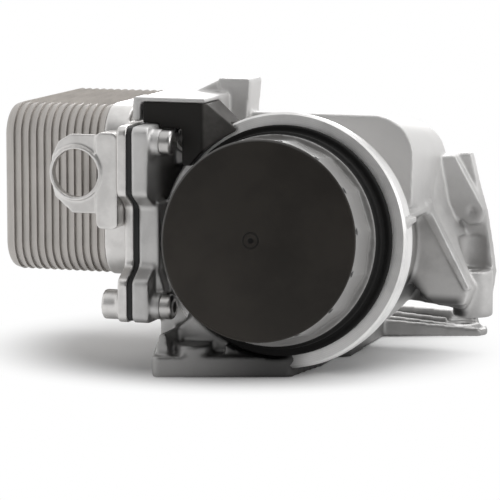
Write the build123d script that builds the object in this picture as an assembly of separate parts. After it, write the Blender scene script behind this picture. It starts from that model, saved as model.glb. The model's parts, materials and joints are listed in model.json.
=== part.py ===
from build123d import *

import math
import os

# Engine oil cooler bolted to its oil filter housing. The housing is one aluminium die casting that stands
# on its base face. A stack of dished plates hangs on its left side, and a black screw cap closes the bowl.
#
# Places are measured from the point of the base face below the middle of the cap's face. X runs to the right,
# Y runs back from the cap, Z runs up. "Depth" is measured along the filter axis, back from the edge of the
# cap's face. At the end everything is moved so that the origin lies under the middle of the whole part.
# Sizes are in millimetres, angles in degrees.

# Clearances
running_gap = 0.3
seat_gap = 0.1
press_gap = 0.05
screw_gap = 0.4

# Filter axis: it falls towards the back, and the collar clears the base face
axis_pitch = 7.0
collar_above_base = 1.7

# Screw cap. The radii step outwards from the grip to the flange.
grip_flats = 15
grip_across_flats = 77.8
grip_turn = 7.5
grip_length = 20.0
grip_chamfer = 1.6
face_edge_inset = 0.5
face_dome = 2.5
corner_notch_radius = 1.1
corner_notch_depth = 2.4
gate_radius = 1.6
gate_depth = 0.6
neck_step = 1.8
neck_shoulder_depth = 24.0
neck_shoulder_step = 1.2
cap_flange_step = 2.8
cap_flange_front = 28.0
cap_flange_thickness = 4.0
cap_land_step = 2.1
cap_land_width = 1.4
thread_root_step = 1.7
thread_pitch = 4.0
thread_turns = 3.0
thread_run_out = 6.0
cap_wall = 3.2

# Cap seal, a ring of round section in a groove of the spigot
seal_section = 2.4
seal_groove_width = 2.9

# Filter bowl
collar_wall = 5.0
collar_length = 14.0
collar_band_length = 6.5
collar_band_step = 0.8
collar_chamfer = 1.0
thread_wall = 3.2
bowl_wall = 4.0
bowl_taper = 1.5
bowl_shoulder_length = 8.0
bowl_floor_depth = 110.0
bowl_floor_thickness = 8.0
bowl_floor_chamfer = 6.0
cap_way_gap = 1.0

# Filter element
element_front = 12.0
element_cap_thickness = 3.0
element_collar_length = 2.0
element_collar_wall = 2.0
element_rim_wall = 1.5
element_rim_length = 6.0
element_disc_rim = 1.2
element_to_floor = 10.0
element_side_gap = 3.3
pleat_count = 44
pleat_gap = 1.4
pleat_height = 14.0
paper_thickness = 1.4
core_gap = 2.1
core_wall = 1.8
core_rings = 6
core_window_width = 7.0
core_ring_width = 3.0
drain_pin_radius = 3.0
drain_pin_length = 12.0
drain_pin_offset = 22.0
drain_pin_end_gap = 1.5
drain_seal_section = 1.2
drain_groove_half = 0.8
drain_groove_to_tip = 3.0

# Standpipe and bypass valve
pipe_radius = 8.0
pipe_wall = 1.6
pipe_front = 9.0
pipe_foot_radius = 12.5
pipe_foot_thickness = 2.0
pipe_tail = 6.0
pipe_window_width = 5.0
pipe_window_length = 12.0
pipe_window_step = 15.0
pipe_window_first = 26.0
valve_seat_thickness = 1.5
valve_seat_bore = 4.2
poppet_radius = 5.7
poppet_thickness = 1.6
stem_radius = 1.4
stem_length = 17.0
spring_radius = 4.1
spring_wire = 0.9
spring_length = 12.6
spring_turns = 5
spring_seat_thickness = 1.5
spring_seat_bore = 2.0
pipe_ledge = 0.9
pipe_ledge_length = 13.0

# Cooler stack
plate_count = 13
plate_pitch = 3.25
plate_sheet = 0.8
plate_rim_depth = 4.2
plate_flare = 15.0
stack_depth = 90.0
stack_height = 68.6
stack_corner_radius = 13.0
stack_front = 30.0
stack_bottom = 36.0
end_plate_bend = 2.6
port_radius = 6.5
port_inset_y = 13.0
port_inset_z = 13.5
port_collar_wall = 1.2
turbulator_waves = 9
turbulator_sheet = 0.5
turbulator_inset = 8.0
turbulator_port_gap = 1.5

# Cooler base plate, gasket and screws. Their outline has a lobe round each screw and a waist in between.
gasket_face = -57.8
gasket_thickness = 2.0
gasket_inset = 0.6
base_plate_thickness = 4.0
base_pad_height = 10.2
base_pad_margin = 0.4
lobe_reach = 6.5
lobe_low_rise = 10.5
lobe_high_drop = 21.0
waist_depth = 8.5
waist_slope = 5.0
lobe_corner_radius = 3.5
flange_thickness = 7.0
screw_radius = 3.0
screw_head_radius = 5.0
screw_head_height = 4.8
screw_head_rounding = 1.6
screw_socket_radius = 2.5
screw_socket_depth = 2.6
screw_beside_stack = 7.0
screw_low_z = 26.2
screw_high_z = 91.8
screw_boss_end = -46.6
screw_boss_radius = 5.2
threaded_boss_radius = 6.0
threaded_boss_end = -70.8
threaded_boss_floor = 1.2

# Eye lug in front of the stack
lug_eye_x = -81.5
lug_eye_z = 79.0
lug_eye_radius = 9.6
lug_rim_width = 1.4
lug_rim_height = 1.2
lug_thickness = 3.0
lug_left = -92.0
lug_top = 94.4
lug_bottom = 62.9
rail_left = -73.0
rail_top = 95.5
rail_bottom = 57.0
rail_back = 29.2

# Base of the casting
base_thickness = 8.4
base_front_left = (-46.5, 8.6)
base_front_right = (5.7, 25.7)
base_left = -57.0
base_side_right = 10.0
base_notch_y = 75.0
base_back_y = 143.0
foot_top = 17.0
foot_back = 62.0
base_seal_width = 3.0
base_seal_depth = 2.4
base_seal_left = -55.0
base_seal_right = 11.6
base_seal_jog = 7.0
base_seal_front = 33.0
base_seal_back = 138.0
base_bolt_radius = 3.3
driver_radius = 7.2
rear_bolt_y = 150.5
rear_bolt_spacing = 88.0
rear_bolt_x = 0.4
rear_ear_margin = 8.0
dowel_x = -33.0
dowel_y = 20.5
dowel_radius = 4.0
dowel_depth = 9.0
dowel_boss_radius = 7.3
dowel_boss_top = 12.5

# Rear ear: a ribbed ramp that runs out obliquely to the right-hand rear bolt
ear_root_x = 9.0
ear_root_y = 130.0
ear_turn = 17.0
ear_depth = 17.0
ear_web = 2.6
ear_boss_rise = 1.8
ear_rib_count = 4
ear_rib_start = 13.0
ear_rib_end = 7.8
ear_front_drop = 4.4
rib_thickness = 2.2

# Deck over the bowl. Its heights are above the filter axis, and it follows the axis to the back.
deck_height = 51.0
deck_right = 45.5
deck_left = -46.0
deck_corner_radius = 17.0
deck_front = 58.0
deck_back = 112.0
deck_flank_bottom = 15.5
deck_lug_front = 60.0
deck_lug_depth = 16.0
deck_lug_rise = 15.0
deck_lug_sink = 4.0

# Chute down the right side, its upright plate and its screw boss
chute_front = 88.0
chute_back = 113.0
chute_bulge = 6.5
upright_front = 109.0
upright_thickness = 5.0
strip_thickness = 4.0
side_boss_x = 60.0
side_boss_y = 104.0
side_boss_radius = 8.2
side_boss_top = 34.5
side_pocket_radius = 6.7
side_pocket_height = 14.0
side_boss_bottom = 15.5
side_hole_radius = 3.3

# Oil and coolant ways
drilling_radius = 5.0
drilling_x = -45.0
drilling_wall = 5.0
drilling_cross_y = 75.0
plug_face_y = 49.0
plug_radius = 6.0
plug_length = 4.0
plug_wall = 1.2
outlet_x = -8.0
outlet_radius = 6.5
outlet_wall = 5.0
outlet_gap = 9.0

# Black bracket beside the cap, and the arm of the casting above it
bracket_front = 30.0
bracket_depth = 18.0
bracket_wall = 2.8
bracket_top = 107.0
bracket_left = -57.4
bracket_facet_x = -33.0
bracket_facet_slope = 0.45
arm_thickness = 1.8
arm_left = -62.0
arm_right = -31.0

# The filter axis: its depth direction points back and slightly down
pitch = math.radians(axis_pitch)
axis_back = Vector(0, math.cos(pitch), -math.sin(pitch))

# Worked-out radii of the cap, from the grip outwards
grip_corner_radius = grip_across_flats / 2 / math.cos(math.pi / grip_flats)
grip_hollow_radius = grip_across_flats / 2 - cap_wall
face_edge_radius = grip_across_flats / 2 - face_edge_inset
neck_radius = grip_corner_radius + neck_step
neck_shoulder_radius = neck_radius + neck_shoulder_step
cap_flange_radius = neck_shoulder_radius + cap_flange_step
cap_land_radius = cap_flange_radius - cap_land_step
thread_root_radius = cap_land_radius - thread_root_step
seal_groove_radius = cap_land_radius - seal_section - press_gap

# Worked-out depths along the filter axis
cap_flange_back = cap_flange_front + cap_flange_thickness
seal_groove_front = cap_flange_back + cap_land_width
seal_groove_back = seal_groove_front + seal_groove_width
cap_land_back = seal_groove_back + cap_land_width
spigot_end = cap_flange_back + thread_turns * thread_pitch + thread_run_out
rim_depth = cap_flange_back + seat_gap
collar_end = rim_depth + collar_length
seal_bore_end = cap_land_back + 1.0
thread_bore_end = spigot_end + 2.0
bowl_neck_end = thread_bore_end + 4.0
bowl_end = bowl_floor_depth + bowl_floor_thickness

# Worked-out sizes of the element, between the cap and the bowl's floor
element_back = bowl_floor_depth - element_to_floor
media_front = element_front + element_cap_thickness
media_back = element_back - element_cap_thickness
media_length = media_back - media_front
element_rim_radius = grip_hollow_radius - running_gap
pleat_tip_radius = element_rim_radius - element_rim_wall - pleat_gap
pleat_root_radius = pleat_tip_radius - pleat_height
core_outer_radius = pleat_root_radius - core_gap

# Worked-out radii of the bowl
seal_bore_radius = cap_land_radius + running_gap
thread_bore_radius = seal_bore_radius - 0.5
collar_radius = cap_flange_radius + collar_wall
bowl_neck_radius = thread_bore_radius + thread_wall
bowl_bore_radius = pleat_tip_radius + element_disc_rim + element_side_gap
bowl_bore_back_radius = bowl_bore_radius - bowl_taper
bowl_radius = bowl_bore_radius + bowl_wall
bowl_back_radius = bowl_bore_back_radius + bowl_wall
cap_way_radius = cap_flange_radius + cap_way_gap
face_height = collar_above_base + collar_radius * math.cos(pitch) + collar_end * math.sin(pitch)
filter_place = Plane(origin=(0, 0, face_height), x_dir=(1, 0, 0), z_dir=axis_back)

# Worked-out depths inside the standpipe
valve_front = pipe_front + valve_seat_thickness + seat_gap
spring_front = valve_front + poppet_thickness
spring_seat_front = spring_front + spring_length
pipe_ledge_front = spring_seat_front + spring_seat_thickness + press_gap

# Worked-out places across the cooler
base_plate_face = gasket_face - gasket_thickness
ear_face = base_plate_face - base_plate_thickness
pad_face = ear_face - base_pad_height
stack_middle_y = stack_front + stack_depth / 2
stack_middle_z = stack_bottom + stack_height / 2
port_front_y = stack_front + port_inset_y
port_back_y = stack_front + stack_depth - port_inset_y
port_low_z = stack_bottom + port_inset_z
port_high_z = stack_bottom + stack_height - port_inset_z
drilling_back_y = port_back_y + drilling_radius + drilling_wall
screw_front_y = stack_front - screw_beside_stack
screw_back_y = stack_front + stack_depth + screw_beside_stack
flange_inner_face = gasket_face + flange_thickness
flange_front = screw_front_y - lobe_reach
flange_back = screw_back_y + lobe_reach
flange_bottom = screw_low_z - lobe_reach
flange_top = screw_high_z + lobe_reach
outlet_y = bowl_end * math.cos(pitch) + outlet_gap
deck_lug_back = deck_lug_front + deck_lug_depth
deck_top = face_height + deck_height / math.cos(pitch) - deck_lug_back * math.tan(pitch)


# Helpers

def block(x, y, z):
    """A box between pairs of coordinates."""
    size = (x[1] - x[0], y[1] - y[0], z[1] - z[0])
    return Pos(x[0], y[0], z[0]) * Box(*size, align=(Align.MIN, Align.MIN, Align.MIN))


def rod_x(x, y, z, radius):
    """A cylinder along X between two coordinates."""
    place = Plane(origin=(x[0], y, z), x_dir=(0, 1, 0), z_dir=(1, 0, 0))
    return place.location * Cylinder(radius, x[1] - x[0], align=(Align.CENTER, Align.CENTER, Align.MIN))


def rod_y(x, y, z, radius):
    """A cylinder along Y between two coordinates."""
    place = Plane(origin=(x, y[0], z), x_dir=(1, 0, 0), z_dir=(0, 1, 0))
    return place.location * Cylinder(radius, y[1] - y[0], align=(Align.CENTER, Align.CENTER, Align.MIN))


def rod_z(x, y, z, radius):
    """A cylinder along Z between two coordinates."""
    return Pos(x, y, z[0]) * Cylinder(radius, z[1] - z[0], align=(Align.CENTER, Align.CENTER, Align.MIN))


def front_outline(points, front, back, corner=0.0):
    """A solid with an outline of X and Z, from a front to a back coordinate of Y."""
    place = Plane(origin=(0, front, 0), x_dir=(1, 0, 0), z_dir=(0, -1, 0))
    face = make_face(Polyline(*points, close=True))
    if corner:
        face = fillet(face.vertices(), corner)
    return extrude(place.location * face, -(back - front))


def plan_outline(points, low, high, corner=0.0):
    """A solid with an outline of X and Y, from a low to a high coordinate of Z."""
    face = make_face(Polyline(*points, close=True))
    if corner:
        face = fillet(face.vertices(), corner)
    return extrude(Pos(0, 0, low) * face, high - low)


def side_plate(x, face):
    """A plate across X from a face of Y and Z."""
    place = Plane(origin=(x[0], 0, 0), x_dir=(0, 1, 0), z_dir=(1, 0, 0))
    return extrude(place.location * face, x[1] - x[0])


def turned(*corners):
    """A solid turned about the filter axis from (radius, depth) corners."""
    outline = Polyline(*[(radius, 0, depth) for radius, depth in corners], close=True)
    return filter_place.location * revolve(make_face(outline), Axis.Z)


def on_axis(shape, depth=0.0):
    """Place a shape on the filter axis, with its own Z along the depth."""
    return filter_place.location * Pos(0, 0, depth) * shape


def ring(radius, section, depth):
    """A ring of round section about the filter axis."""
    return on_axis(Torus(radius, section / 2), depth)


def screw_places():
    """The four cooler screws, as pairs of Y and Z."""
    return [(y, z) for y in (screw_front_y, screw_back_y) for z in (screw_low_z, screw_high_z)]


def port_places():
    """The four ports of the cooler, as pairs of Y and Z."""
    return [(y, z) for y in (port_front_y, port_back_y) for z in (port_low_z, port_high_z)]


def base_bolts():
    """The holes of the two rear ears, as X, Y and the height of their seat."""
    half = rear_bolt_spacing / 2
    return [
        (rear_bolt_x - half, rear_bolt_y, base_thickness),
        (rear_bolt_x + half, rear_bolt_y, ear_web + ear_boss_rise),
    ]


# Housing casting

def cooler_outline(inset=0.0):
    """The face shared by flange, gasket and base plate: a lobe round each screw, and a waist in between."""
    front = flange_front + inset
    back = flange_back - inset
    low = flange_bottom + inset
    high = flange_top - inset
    lobe_low = screw_low_z + lobe_low_rise - inset
    lobe_high = screw_high_z - lobe_high_drop + inset
    face = make_face(Polyline(
        (front, low), (front, lobe_low), (front + waist_depth, lobe_low + waist_slope),
        (front + waist_depth, lobe_high - waist_slope), (front, lobe_high), (front, high),
        (back, high), (back, lobe_high), (back - waist_depth, lobe_high - waist_slope),
        (back - waist_depth, lobe_low + waist_slope), (back, lobe_low), (back, low), close=True))
    return fillet(face.vertices(), lobe_corner_radius)


def bowl_body():
    """The outside of the filter bowl with its stepped collar."""
    step_radius = collar_radius - collar_band_step
    return turned(
        (0, rim_depth),
        (collar_radius - collar_chamfer, rim_depth),
        (collar_radius, rim_depth + collar_chamfer),
        (collar_radius, rim_depth + collar_band_length),
        (step_radius, rim_depth + collar_band_length + collar_band_step),
        (step_radius, collar_end - collar_chamfer),
        (step_radius - collar_chamfer, collar_end),
        (bowl_neck_radius, collar_end + 2.0),
        (bowl_neck_radius, bowl_neck_end),
        (bowl_radius, bowl_neck_end + bowl_shoulder_length),
        (bowl_back_radius, bowl_end - bowl_floor_chamfer),
        (bowl_back_radius - bowl_floor_chamfer, bowl_end),
        (0, bowl_end),
    )


def bowl_hollow():
    """The bore of the bowl: seal land, thread land and element space."""
    mouth_radius = seal_bore_radius + 1.0
    return turned(
        (0, rim_depth - 2.0),
        (mouth_radius, rim_depth - 2.0),
        (mouth_radius, rim_depth),
        (seal_bore_radius, rim_depth + 1.0),
        (seal_bore_radius, seal_bore_end),
        (thread_bore_radius, seal_bore_end + 0.5),
        (thread_bore_radius, thread_bore_end),
        (bowl_bore_radius, thread_bore_end + 5.0),
        (bowl_bore_back_radius, bowl_floor_depth - bowl_floor_chamfer),
        (bowl_bore_back_radius - bowl_floor_chamfer, bowl_floor_depth),
        (0, bowl_floor_depth),
    )


def cap_way():
    """The space in front of the bowl that the cap needs on its way out."""
    way_front = -80.0
    return turned((0, way_front), (cap_way_radius, way_front), (cap_way_radius, rim_depth), (0, rim_depth))


def base_flange():
    """The base flange with its oblique front edge, and the left-hand rear ear."""
    right = base_side_right
    flange = plan_outline([
        base_front_left, base_front_right, (right - 2.0, 42.0), (right, 53.0), (right, base_notch_y),
        (right + 5.0, base_notch_y + 4.0), (right + 4.0, base_back_y), (base_left, base_back_y),
        (base_left, 45.0),
    ], 0, base_thickness, 3.0)
    ear_x = rear_bolt_x - rear_bolt_spacing / 2
    reach = rear_ear_margin
    flange += plan_outline([
        (base_left, base_back_y - 8.0), (base_left, rear_bolt_y), (ear_x - reach, rear_bolt_y + reach),
        (ear_x + reach, rear_bolt_y + reach), (ear_x + 2 * reach, base_back_y - 8.0),
    ], 0, base_thickness, 2.5)
    return flange


def front_foot():
    """The raised foot under the cap: a sloping web at its left, the dowel boss and the body."""
    left = base_front_left[0]
    web = front_outline([
        (left, 1.0), (left + 1.5, foot_top - 0.5), (left + 4.5, foot_top + 0.5), (left + 7.0, 1.0),
    ], base_front_left[1] + 3.5, foot_back, 0.8)
    slope = front_outline([
        (left + 0.4, 1.0), (left + 1.5, foot_top - 0.5), (left + 4.5, foot_top + 0.5),
        (left + 13.5, foot_top + 8.5), (left + 26.0, foot_top + 9.5), (left + 26.0, 1.0),
    ], dowel_y + 5.5, foot_back, 0.8)
    boss = rod_z(dowel_x, dowel_y, (1.0, dowel_boss_top), dowel_boss_radius)
    right = base_front_right[0]
    body = plan_outline([
        (left + 26.0, 20.0), (right - 2.5, base_front_right[1] + 1.5), (right, 42.0),
        (base_side_right - 2.0, 53.0), (base_side_right - 2.0, foot_back), (left + 26.0, foot_back),
    ], 1.0, foot_top, 1.5)
    return web + slope + boss + body


def rear_ear():
    """The ribbed ear at the right: a low web with ribs that fall towards its tip."""
    length = 50.0
    start = -8.0
    tip = 4.0
    ear = plan_outline([
        (start, 0.0), (length - tip, 0.0), (length, tip), (length, ear_depth - tip),
        (length - tip, ear_depth), (start, ear_depth),
    ], 0.0, ear_web, 2.0)
    step = (ear_depth - rib_thickness) / (ear_rib_count - 1)
    for number in range(ear_rib_count):
        drop = ear_front_drop * (1 - number / (ear_rib_count - 1))
        outer = number in (0, ear_rib_count - 1)
        end = length - 4.0 if outer else length - 17.0
        ear += front_outline([
            (start, 1.0), (start, ear_rib_start - drop), (end, ear_rib_end - drop), (end + 1.5, 1.0),
        ], number * step, number * step + rib_thickness)
    ear = Pos(ear_root_x, ear_root_y, 0) * Rot(0, 0, ear_turn) * ear
    x, y, seat = base_bolts()[1]
    return ear + rod_z(x, y, (0.0, seat), driver_radius)


def cooler_flange():
    """The upright flange for the cooler, with its screw bosses and the blocks that hold the ways."""
    inner = flange_inner_face - 1.0
    block_right = drilling_x + drilling_radius + drilling_wall
    body = side_plate((gasket_face, flange_inner_face), cooler_outline())
    for y, z in screw_places():
        body += rod_x((inner, screw_boss_end), y, z, screw_boss_radius)
    low_front = port_front_y - drilling_radius - 4.0
    low_top = port_low_z + drilling_radius + 11.0
    high_bottom = port_high_z - 11.0
    high_top = port_high_z + 4.4
    body += block((inner, block_right), (low_front, drilling_back_y), (1.0, low_top))
    body += block((inner, block_right), (drilling_cross_y - 15.0, drilling_back_y), (low_top - 1.0, high_top))
    body += block((inner, block_right), (plug_face_y, drilling_cross_y), (high_bottom, high_top))
    waist_front = flange_front + waist_depth
    waist_low = screw_low_z + lobe_low_rise + waist_slope
    waist_high = screw_high_z - lobe_high_drop - waist_slope
    waist_y = (waist_front, low_front + 2.0)
    body += block((gasket_face, gasket_face + 9.0), waist_y, (waist_low, waist_high + 2.0))
    body += front_outline([
        (gasket_face + 1.0, waist_low + 1.0), (gasket_face + 8.0, waist_low + 1.0),
        (gasket_face + 11.5, screw_low_z + 4.5), (gasket_face + 1.0, screw_low_z + 4.5),
    ], *waist_y)
    for z in (screw_low_z, screw_high_z):
        body += block((inner, screw_boss_end - 0.6), (screw_front_y, low_front + 12.0), (z - 2.0, z + 2.0))
    return body


def bowl_deck():
    """The deck over the bowl, with a rounded right edge that runs down as a flank."""
    outline = Polyline(
        (deck_left, 0.0), (deck_left, -deck_height), (deck_right, -deck_height),
        (deck_right, -deck_flank_bottom), (deck_right - 6.0, 6.0 - deck_flank_bottom), (deck_right - 10.0, 0.0),
        close=True)
    face = make_face(outline)
    top_right = face.vertices().sort_by_distance((deck_right, -deck_height, 0.0))[0]
    face = fillet([top_right], deck_corner_radius)
    return on_axis(extrude(face, deck_back - deck_front), deck_front)


def deck_lugs():
    """The lug that flares upwards from the deck, and the slanting rib beside it."""
    base = deck_top - deck_lug_sink
    top = deck_top + deck_lug_rise
    lug = front_outline([
        (-30.5, base), (-36.5, top), (-22.0, top), (-24.0, base),
    ], deck_lug_front, deck_lug_back, 1.0)
    rib = front_outline([
        (-50.6, base - 2.0), (-50.6, deck_top + 7.2), (-37.5, deck_top + 13.6), (-29.0, base),
    ], deck_lug_front + 2.0, deck_lug_front + 2.0 + rib_thickness)
    return lug + rib


def top_arm():
    """The thin arm over the black bracket, with a lip at its left end and a post at its back."""
    top = bracket_top + arm_thickness
    lip_bottom = flange_top + 0.8
    arm = front_outline([
        (arm_left, lip_bottom), (arm_left, top), (arm_right, top), (arm_right, bracket_top),
        (arm_left + 3.4, bracket_top), (arm_left + 3.4, lip_bottom),
    ], bracket_front, bracket_front + 12.0, 0.6)
    bracket_back = bracket_front + bracket_depth
    arm += block((-52.0, arm_right), (bracket_front + 11.0, bracket_back + 16.0), (bracket_top, top))
    return arm + block((-50.6, arm_right), (bracket_back + 1.0, bracket_back + 20.0), (88.0, top))


def chute_outline(bulge):
    """The outline of the chute in X and Z, with its sloping right edge moved out by a bulge."""
    return [
        (10.0, 88.0), (34.0, 86.0), (43.5 + bulge / 2, 79.0), (44.7 + bulge, 62.0),
        (62.2 + bulge * 0.6, 28.5), (60.0 + bulge * 0.6, 22.0), (47.0, 22.0), (34.0, 33.0), (10.0, 30.0),
    ]


def side_chute():
    """The chute down the right side, with the rib along its front edge and the ridge from the collar."""
    faces = []
    for y, bulge in ((chute_front, 0.0), (chute_back, chute_bulge)):
        place = Plane(origin=(0, y, 0), x_dir=(1, 0, 0), z_dir=(0, -1, 0))
        faces.append(place.location * make_face(Polyline(*chute_outline(bulge), close=True)))
    chute = loft(faces, ruled=True)
    rib = front_outline([
        (41.5, 62.5), (44.8, 64.9), (63.6, 29.2), (61.0, 28.0),
    ], chute_front - 4.0, chute_front + 2.0, 0.5)
    ridge_z = face_height + 4.5
    ridge = plan_outline([
        (collar_radius - 6.0, rim_depth + 4.0), (collar_radius + 0.6, rim_depth + 4.0),
        (collar_radius + 0.6, collar_end + 1.0), (deck_right + 1.3, collar_end + 6.0),
        (deck_right + 1.3, chute_front), (36.0, chute_front),
    ], ridge_z - 1.2, ridge_z + 1.2)
    nub = front_outline([
        (38.5, ridge_z - 2.7), (38.5, ridge_z + 2.7), (47.0, ridge_z + 2.7), (47.0, ridge_z - 2.7),
    ], chute_front - 8.0, chute_front + 1.0, 1.2)
    return chute + rib + ridge + nub


def upright_plate():
    """The upright plate behind the chute, with the bright strip in front of it and the screw boss below."""
    plate = front_outline([
        (42.0, 60.0), (44.0, 81.0), (57.3, 82.5), (60.4, 69.4), (63.8, 57.7), (66.4, 42.3), (67.6, 33.0),
        (66.0, 22.0), (52.0, 20.0), (50.0, 40.0),
    ], upright_front, upright_front + upright_thickness, 1.2)
    strip = front_outline([
        (43.6, 80.5), (51.4, 81.6), (64.4, 58.6), (62.6, 53.6), (57.5, 52.6), (51.4, 57.0),
    ], upright_front - strip_thickness, upright_front + 1.0, 1.2)
    strip_front = upright_front - strip_thickness
    strip -= rod_y(58.9, (strip_front - 1.0, strip_front + 1.5), 58.4, 1.7)
    boss = rod_z(side_boss_x, side_boss_y, (side_boss_bottom, side_boss_top), side_boss_radius)
    shelf = front_outline([
        (40.0, 23.0), (40.0, 33.0), (60.0, 31.0), (60.0, 19.0),
    ], chute_front + 5.0, side_boss_y + 5.0, 2.0)
    wall = front_outline([
        (20.0, 22.0), (20.0, 50.0), (50.0, 50.0), (60.0, 30.0), (54.0, 17.0), (25.0, 21.0),
    ], upright_front - 1.0, upright_front + upright_thickness, 1.5)
    return plate + strip + boss + shelf + wall


def outlet_tower():
    """The tower behind the bowl that leads the clean oil down, and the neck that meets it."""
    tower = rod_z(outlet_x, outlet_y, (2.0, face_height - 9.0), outlet_radius + outlet_wall)
    neck_radius_outside = pipe_radius + 6.0
    neck = turned(
        (0, bowl_floor_depth + 2.0), (neck_radius_outside, bowl_floor_depth + 2.0),
        (neck_radius_outside, bowl_end + 8.0), (neck_radius_outside - 2.0, bowl_end + 9.0), (0, bowl_end + 9.0))
    web = block((-34.0, 12.0), (outlet_y - 2.0, outlet_y + 2.0), (4.0, 30.0))
    return tower + neck + web


def drain_place():
    """The place of the drain pin's tip, as Y and Z."""
    depth = bowl_floor_depth + 2.0
    y = depth * math.cos(pitch) - drain_pin_offset * math.sin(pitch)
    return y, face_height - depth * math.sin(pitch) - drain_pin_offset * math.cos(pitch)


def oil_cuts():
    """The oil ways: out to the cooler, back into the bowl, clean oil out and the drain."""
    face = gasket_face - 1.0
    cuts = []
    for y in (port_front_y, port_back_y):
        cuts.append(rod_x((face, drilling_x), y, port_low_z, drilling_radius))
        cuts.append(rod_z(drilling_x, y, (-1.0, port_low_z), drilling_radius))
    return_z = port_high_z - 3.5
    return_x = -14.0
    cuts.append(rod_x((face, return_x), port_back_y, return_z, drilling_radius))
    cuts.append(rod_z(return_x, port_back_y, (return_z - 14.0, return_z), drilling_radius))
    pipe_hole = pipe_radius + press_gap
    cuts.append(turned((0, bowl_floor_depth - 1.0), (pipe_hole, bowl_floor_depth - 1.0),
                       (pipe_hole, bowl_end + 4.0), (0, bowl_end + 4.0)))
    cuts.append(rod_z(outlet_x, outlet_y, (-1.0, face_height - 15.0), outlet_radius))
    pocket_end = element_back + drain_pin_length + drain_pin_end_gap
    pocket = Cylinder(drain_pin_radius + 2 * running_gap, pocket_end - bowl_floor_depth + 1.0,
                      align=(Align.CENTER, Align.CENTER, Align.MIN))
    cuts.append(on_axis(Pos(0, drain_pin_offset, 0) * pocket, bowl_floor_depth - 1.0))
    drain_y, drain_z = drain_place()
    cuts.append(rod_z(0, drain_y, (-1.0, drain_z), drain_pin_radius - 0.5))
    return cuts


def coolant_cuts():
    """The coolant way: a channel in the flange's face, a drilling closed by the plug, and the way down."""
    face = gasket_face - 1.0
    channel_floor = gasket_face + 4.5
    turn_y = plug_face_y + 7.0
    cuts = [rod_x((face, channel_floor), port_front_y, port_high_z, drilling_radius)]
    cuts.append(block((face, channel_floor), (port_front_y, turn_y),
                      (port_high_z - drilling_radius, port_high_z + drilling_radius)))
    cuts.append(rod_x((face, drilling_x), turn_y, port_high_z, drilling_radius))
    cuts.append(rod_y(drilling_x, (plug_face_y - 1.0, drilling_cross_y), port_high_z, drilling_radius))
    cuts.append(rod_y(drilling_x, (plug_face_y - 1.0, plug_face_y + plug_length), port_high_z,
                      plug_radius + press_gap))
    cuts.append(rod_z(drilling_x, drilling_cross_y, (-1.0, port_high_z), drilling_radius))
    return cuts


def base_seal_outline(grow):
    """The outline of the base seal, moved outwards by a distance."""
    left = base_seal_left - grow
    jog = base_seal_right - base_seal_jog + grow
    right = base_seal_right + grow
    front = base_seal_front - grow
    back = base_seal_back + grow
    return [
        (left, front), (jog, front), (jog, base_notch_y - 4.0 - 0.4 * grow),
        (right, base_notch_y + 7.0 - 0.4 * grow), (right, back), (left, back),
    ]


def base_seal(gap=0.0):
    """The band of the base seal, or of its groove when a gap is given."""
    outer = plan_outline(base_seal_outline(gap), -1.0 if gap else 0.0, base_seal_depth, 4.0)
    inner = plan_outline(base_seal_outline(-base_seal_width - gap), -2.0, base_seal_depth + 1.0, 2.0)
    return outer - inner


def screw_cuts():
    """The clearance holes of the cooler screws, and the holes of the base and the side boss."""
    cuts = []
    for y, z in screw_places():
        cuts.append(rod_x((gasket_face - 1.0, screw_boss_end + 1.0), y, z, screw_radius + screw_gap))
    for x, y, seat in base_bolts():
        cuts.append(rod_z(x, y, (-1.0, seat + 1.0), base_bolt_radius))
        cuts.append(rod_z(x, y, (seat, seat + 30.0), driver_radius))
    cuts.append(rod_z(dowel_x, dowel_y, (-1.0, dowel_depth), dowel_radius))
    pocket = (side_boss_top, side_boss_top + side_pocket_height)
    cuts.append(rod_z(side_boss_x, side_boss_y, pocket, side_pocket_radius))
    side_hole = (side_boss_bottom - 4.0, side_boss_top + 1.0)
    cuts.append(rod_z(side_boss_x, side_boss_y, side_hole, side_hole_radius))
    return cuts


def filter_housing():
    """The whole casting."""
    body = bowl_body() + base_flange() + front_foot() + rear_ear() + cooler_flange()
    body += bowl_deck()
    body += deck_lugs()
    body += top_arm()
    body += side_chute()
    body += upright_plate()
    body += outlet_tower()
    body -= cap_way()
    body -= bowl_hollow()
    for cut in oil_cuts() + coolant_cuts() + screw_cuts():
        body -= cut
    return body - base_seal(seat_gap)


# Screw cap and its seal

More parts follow.
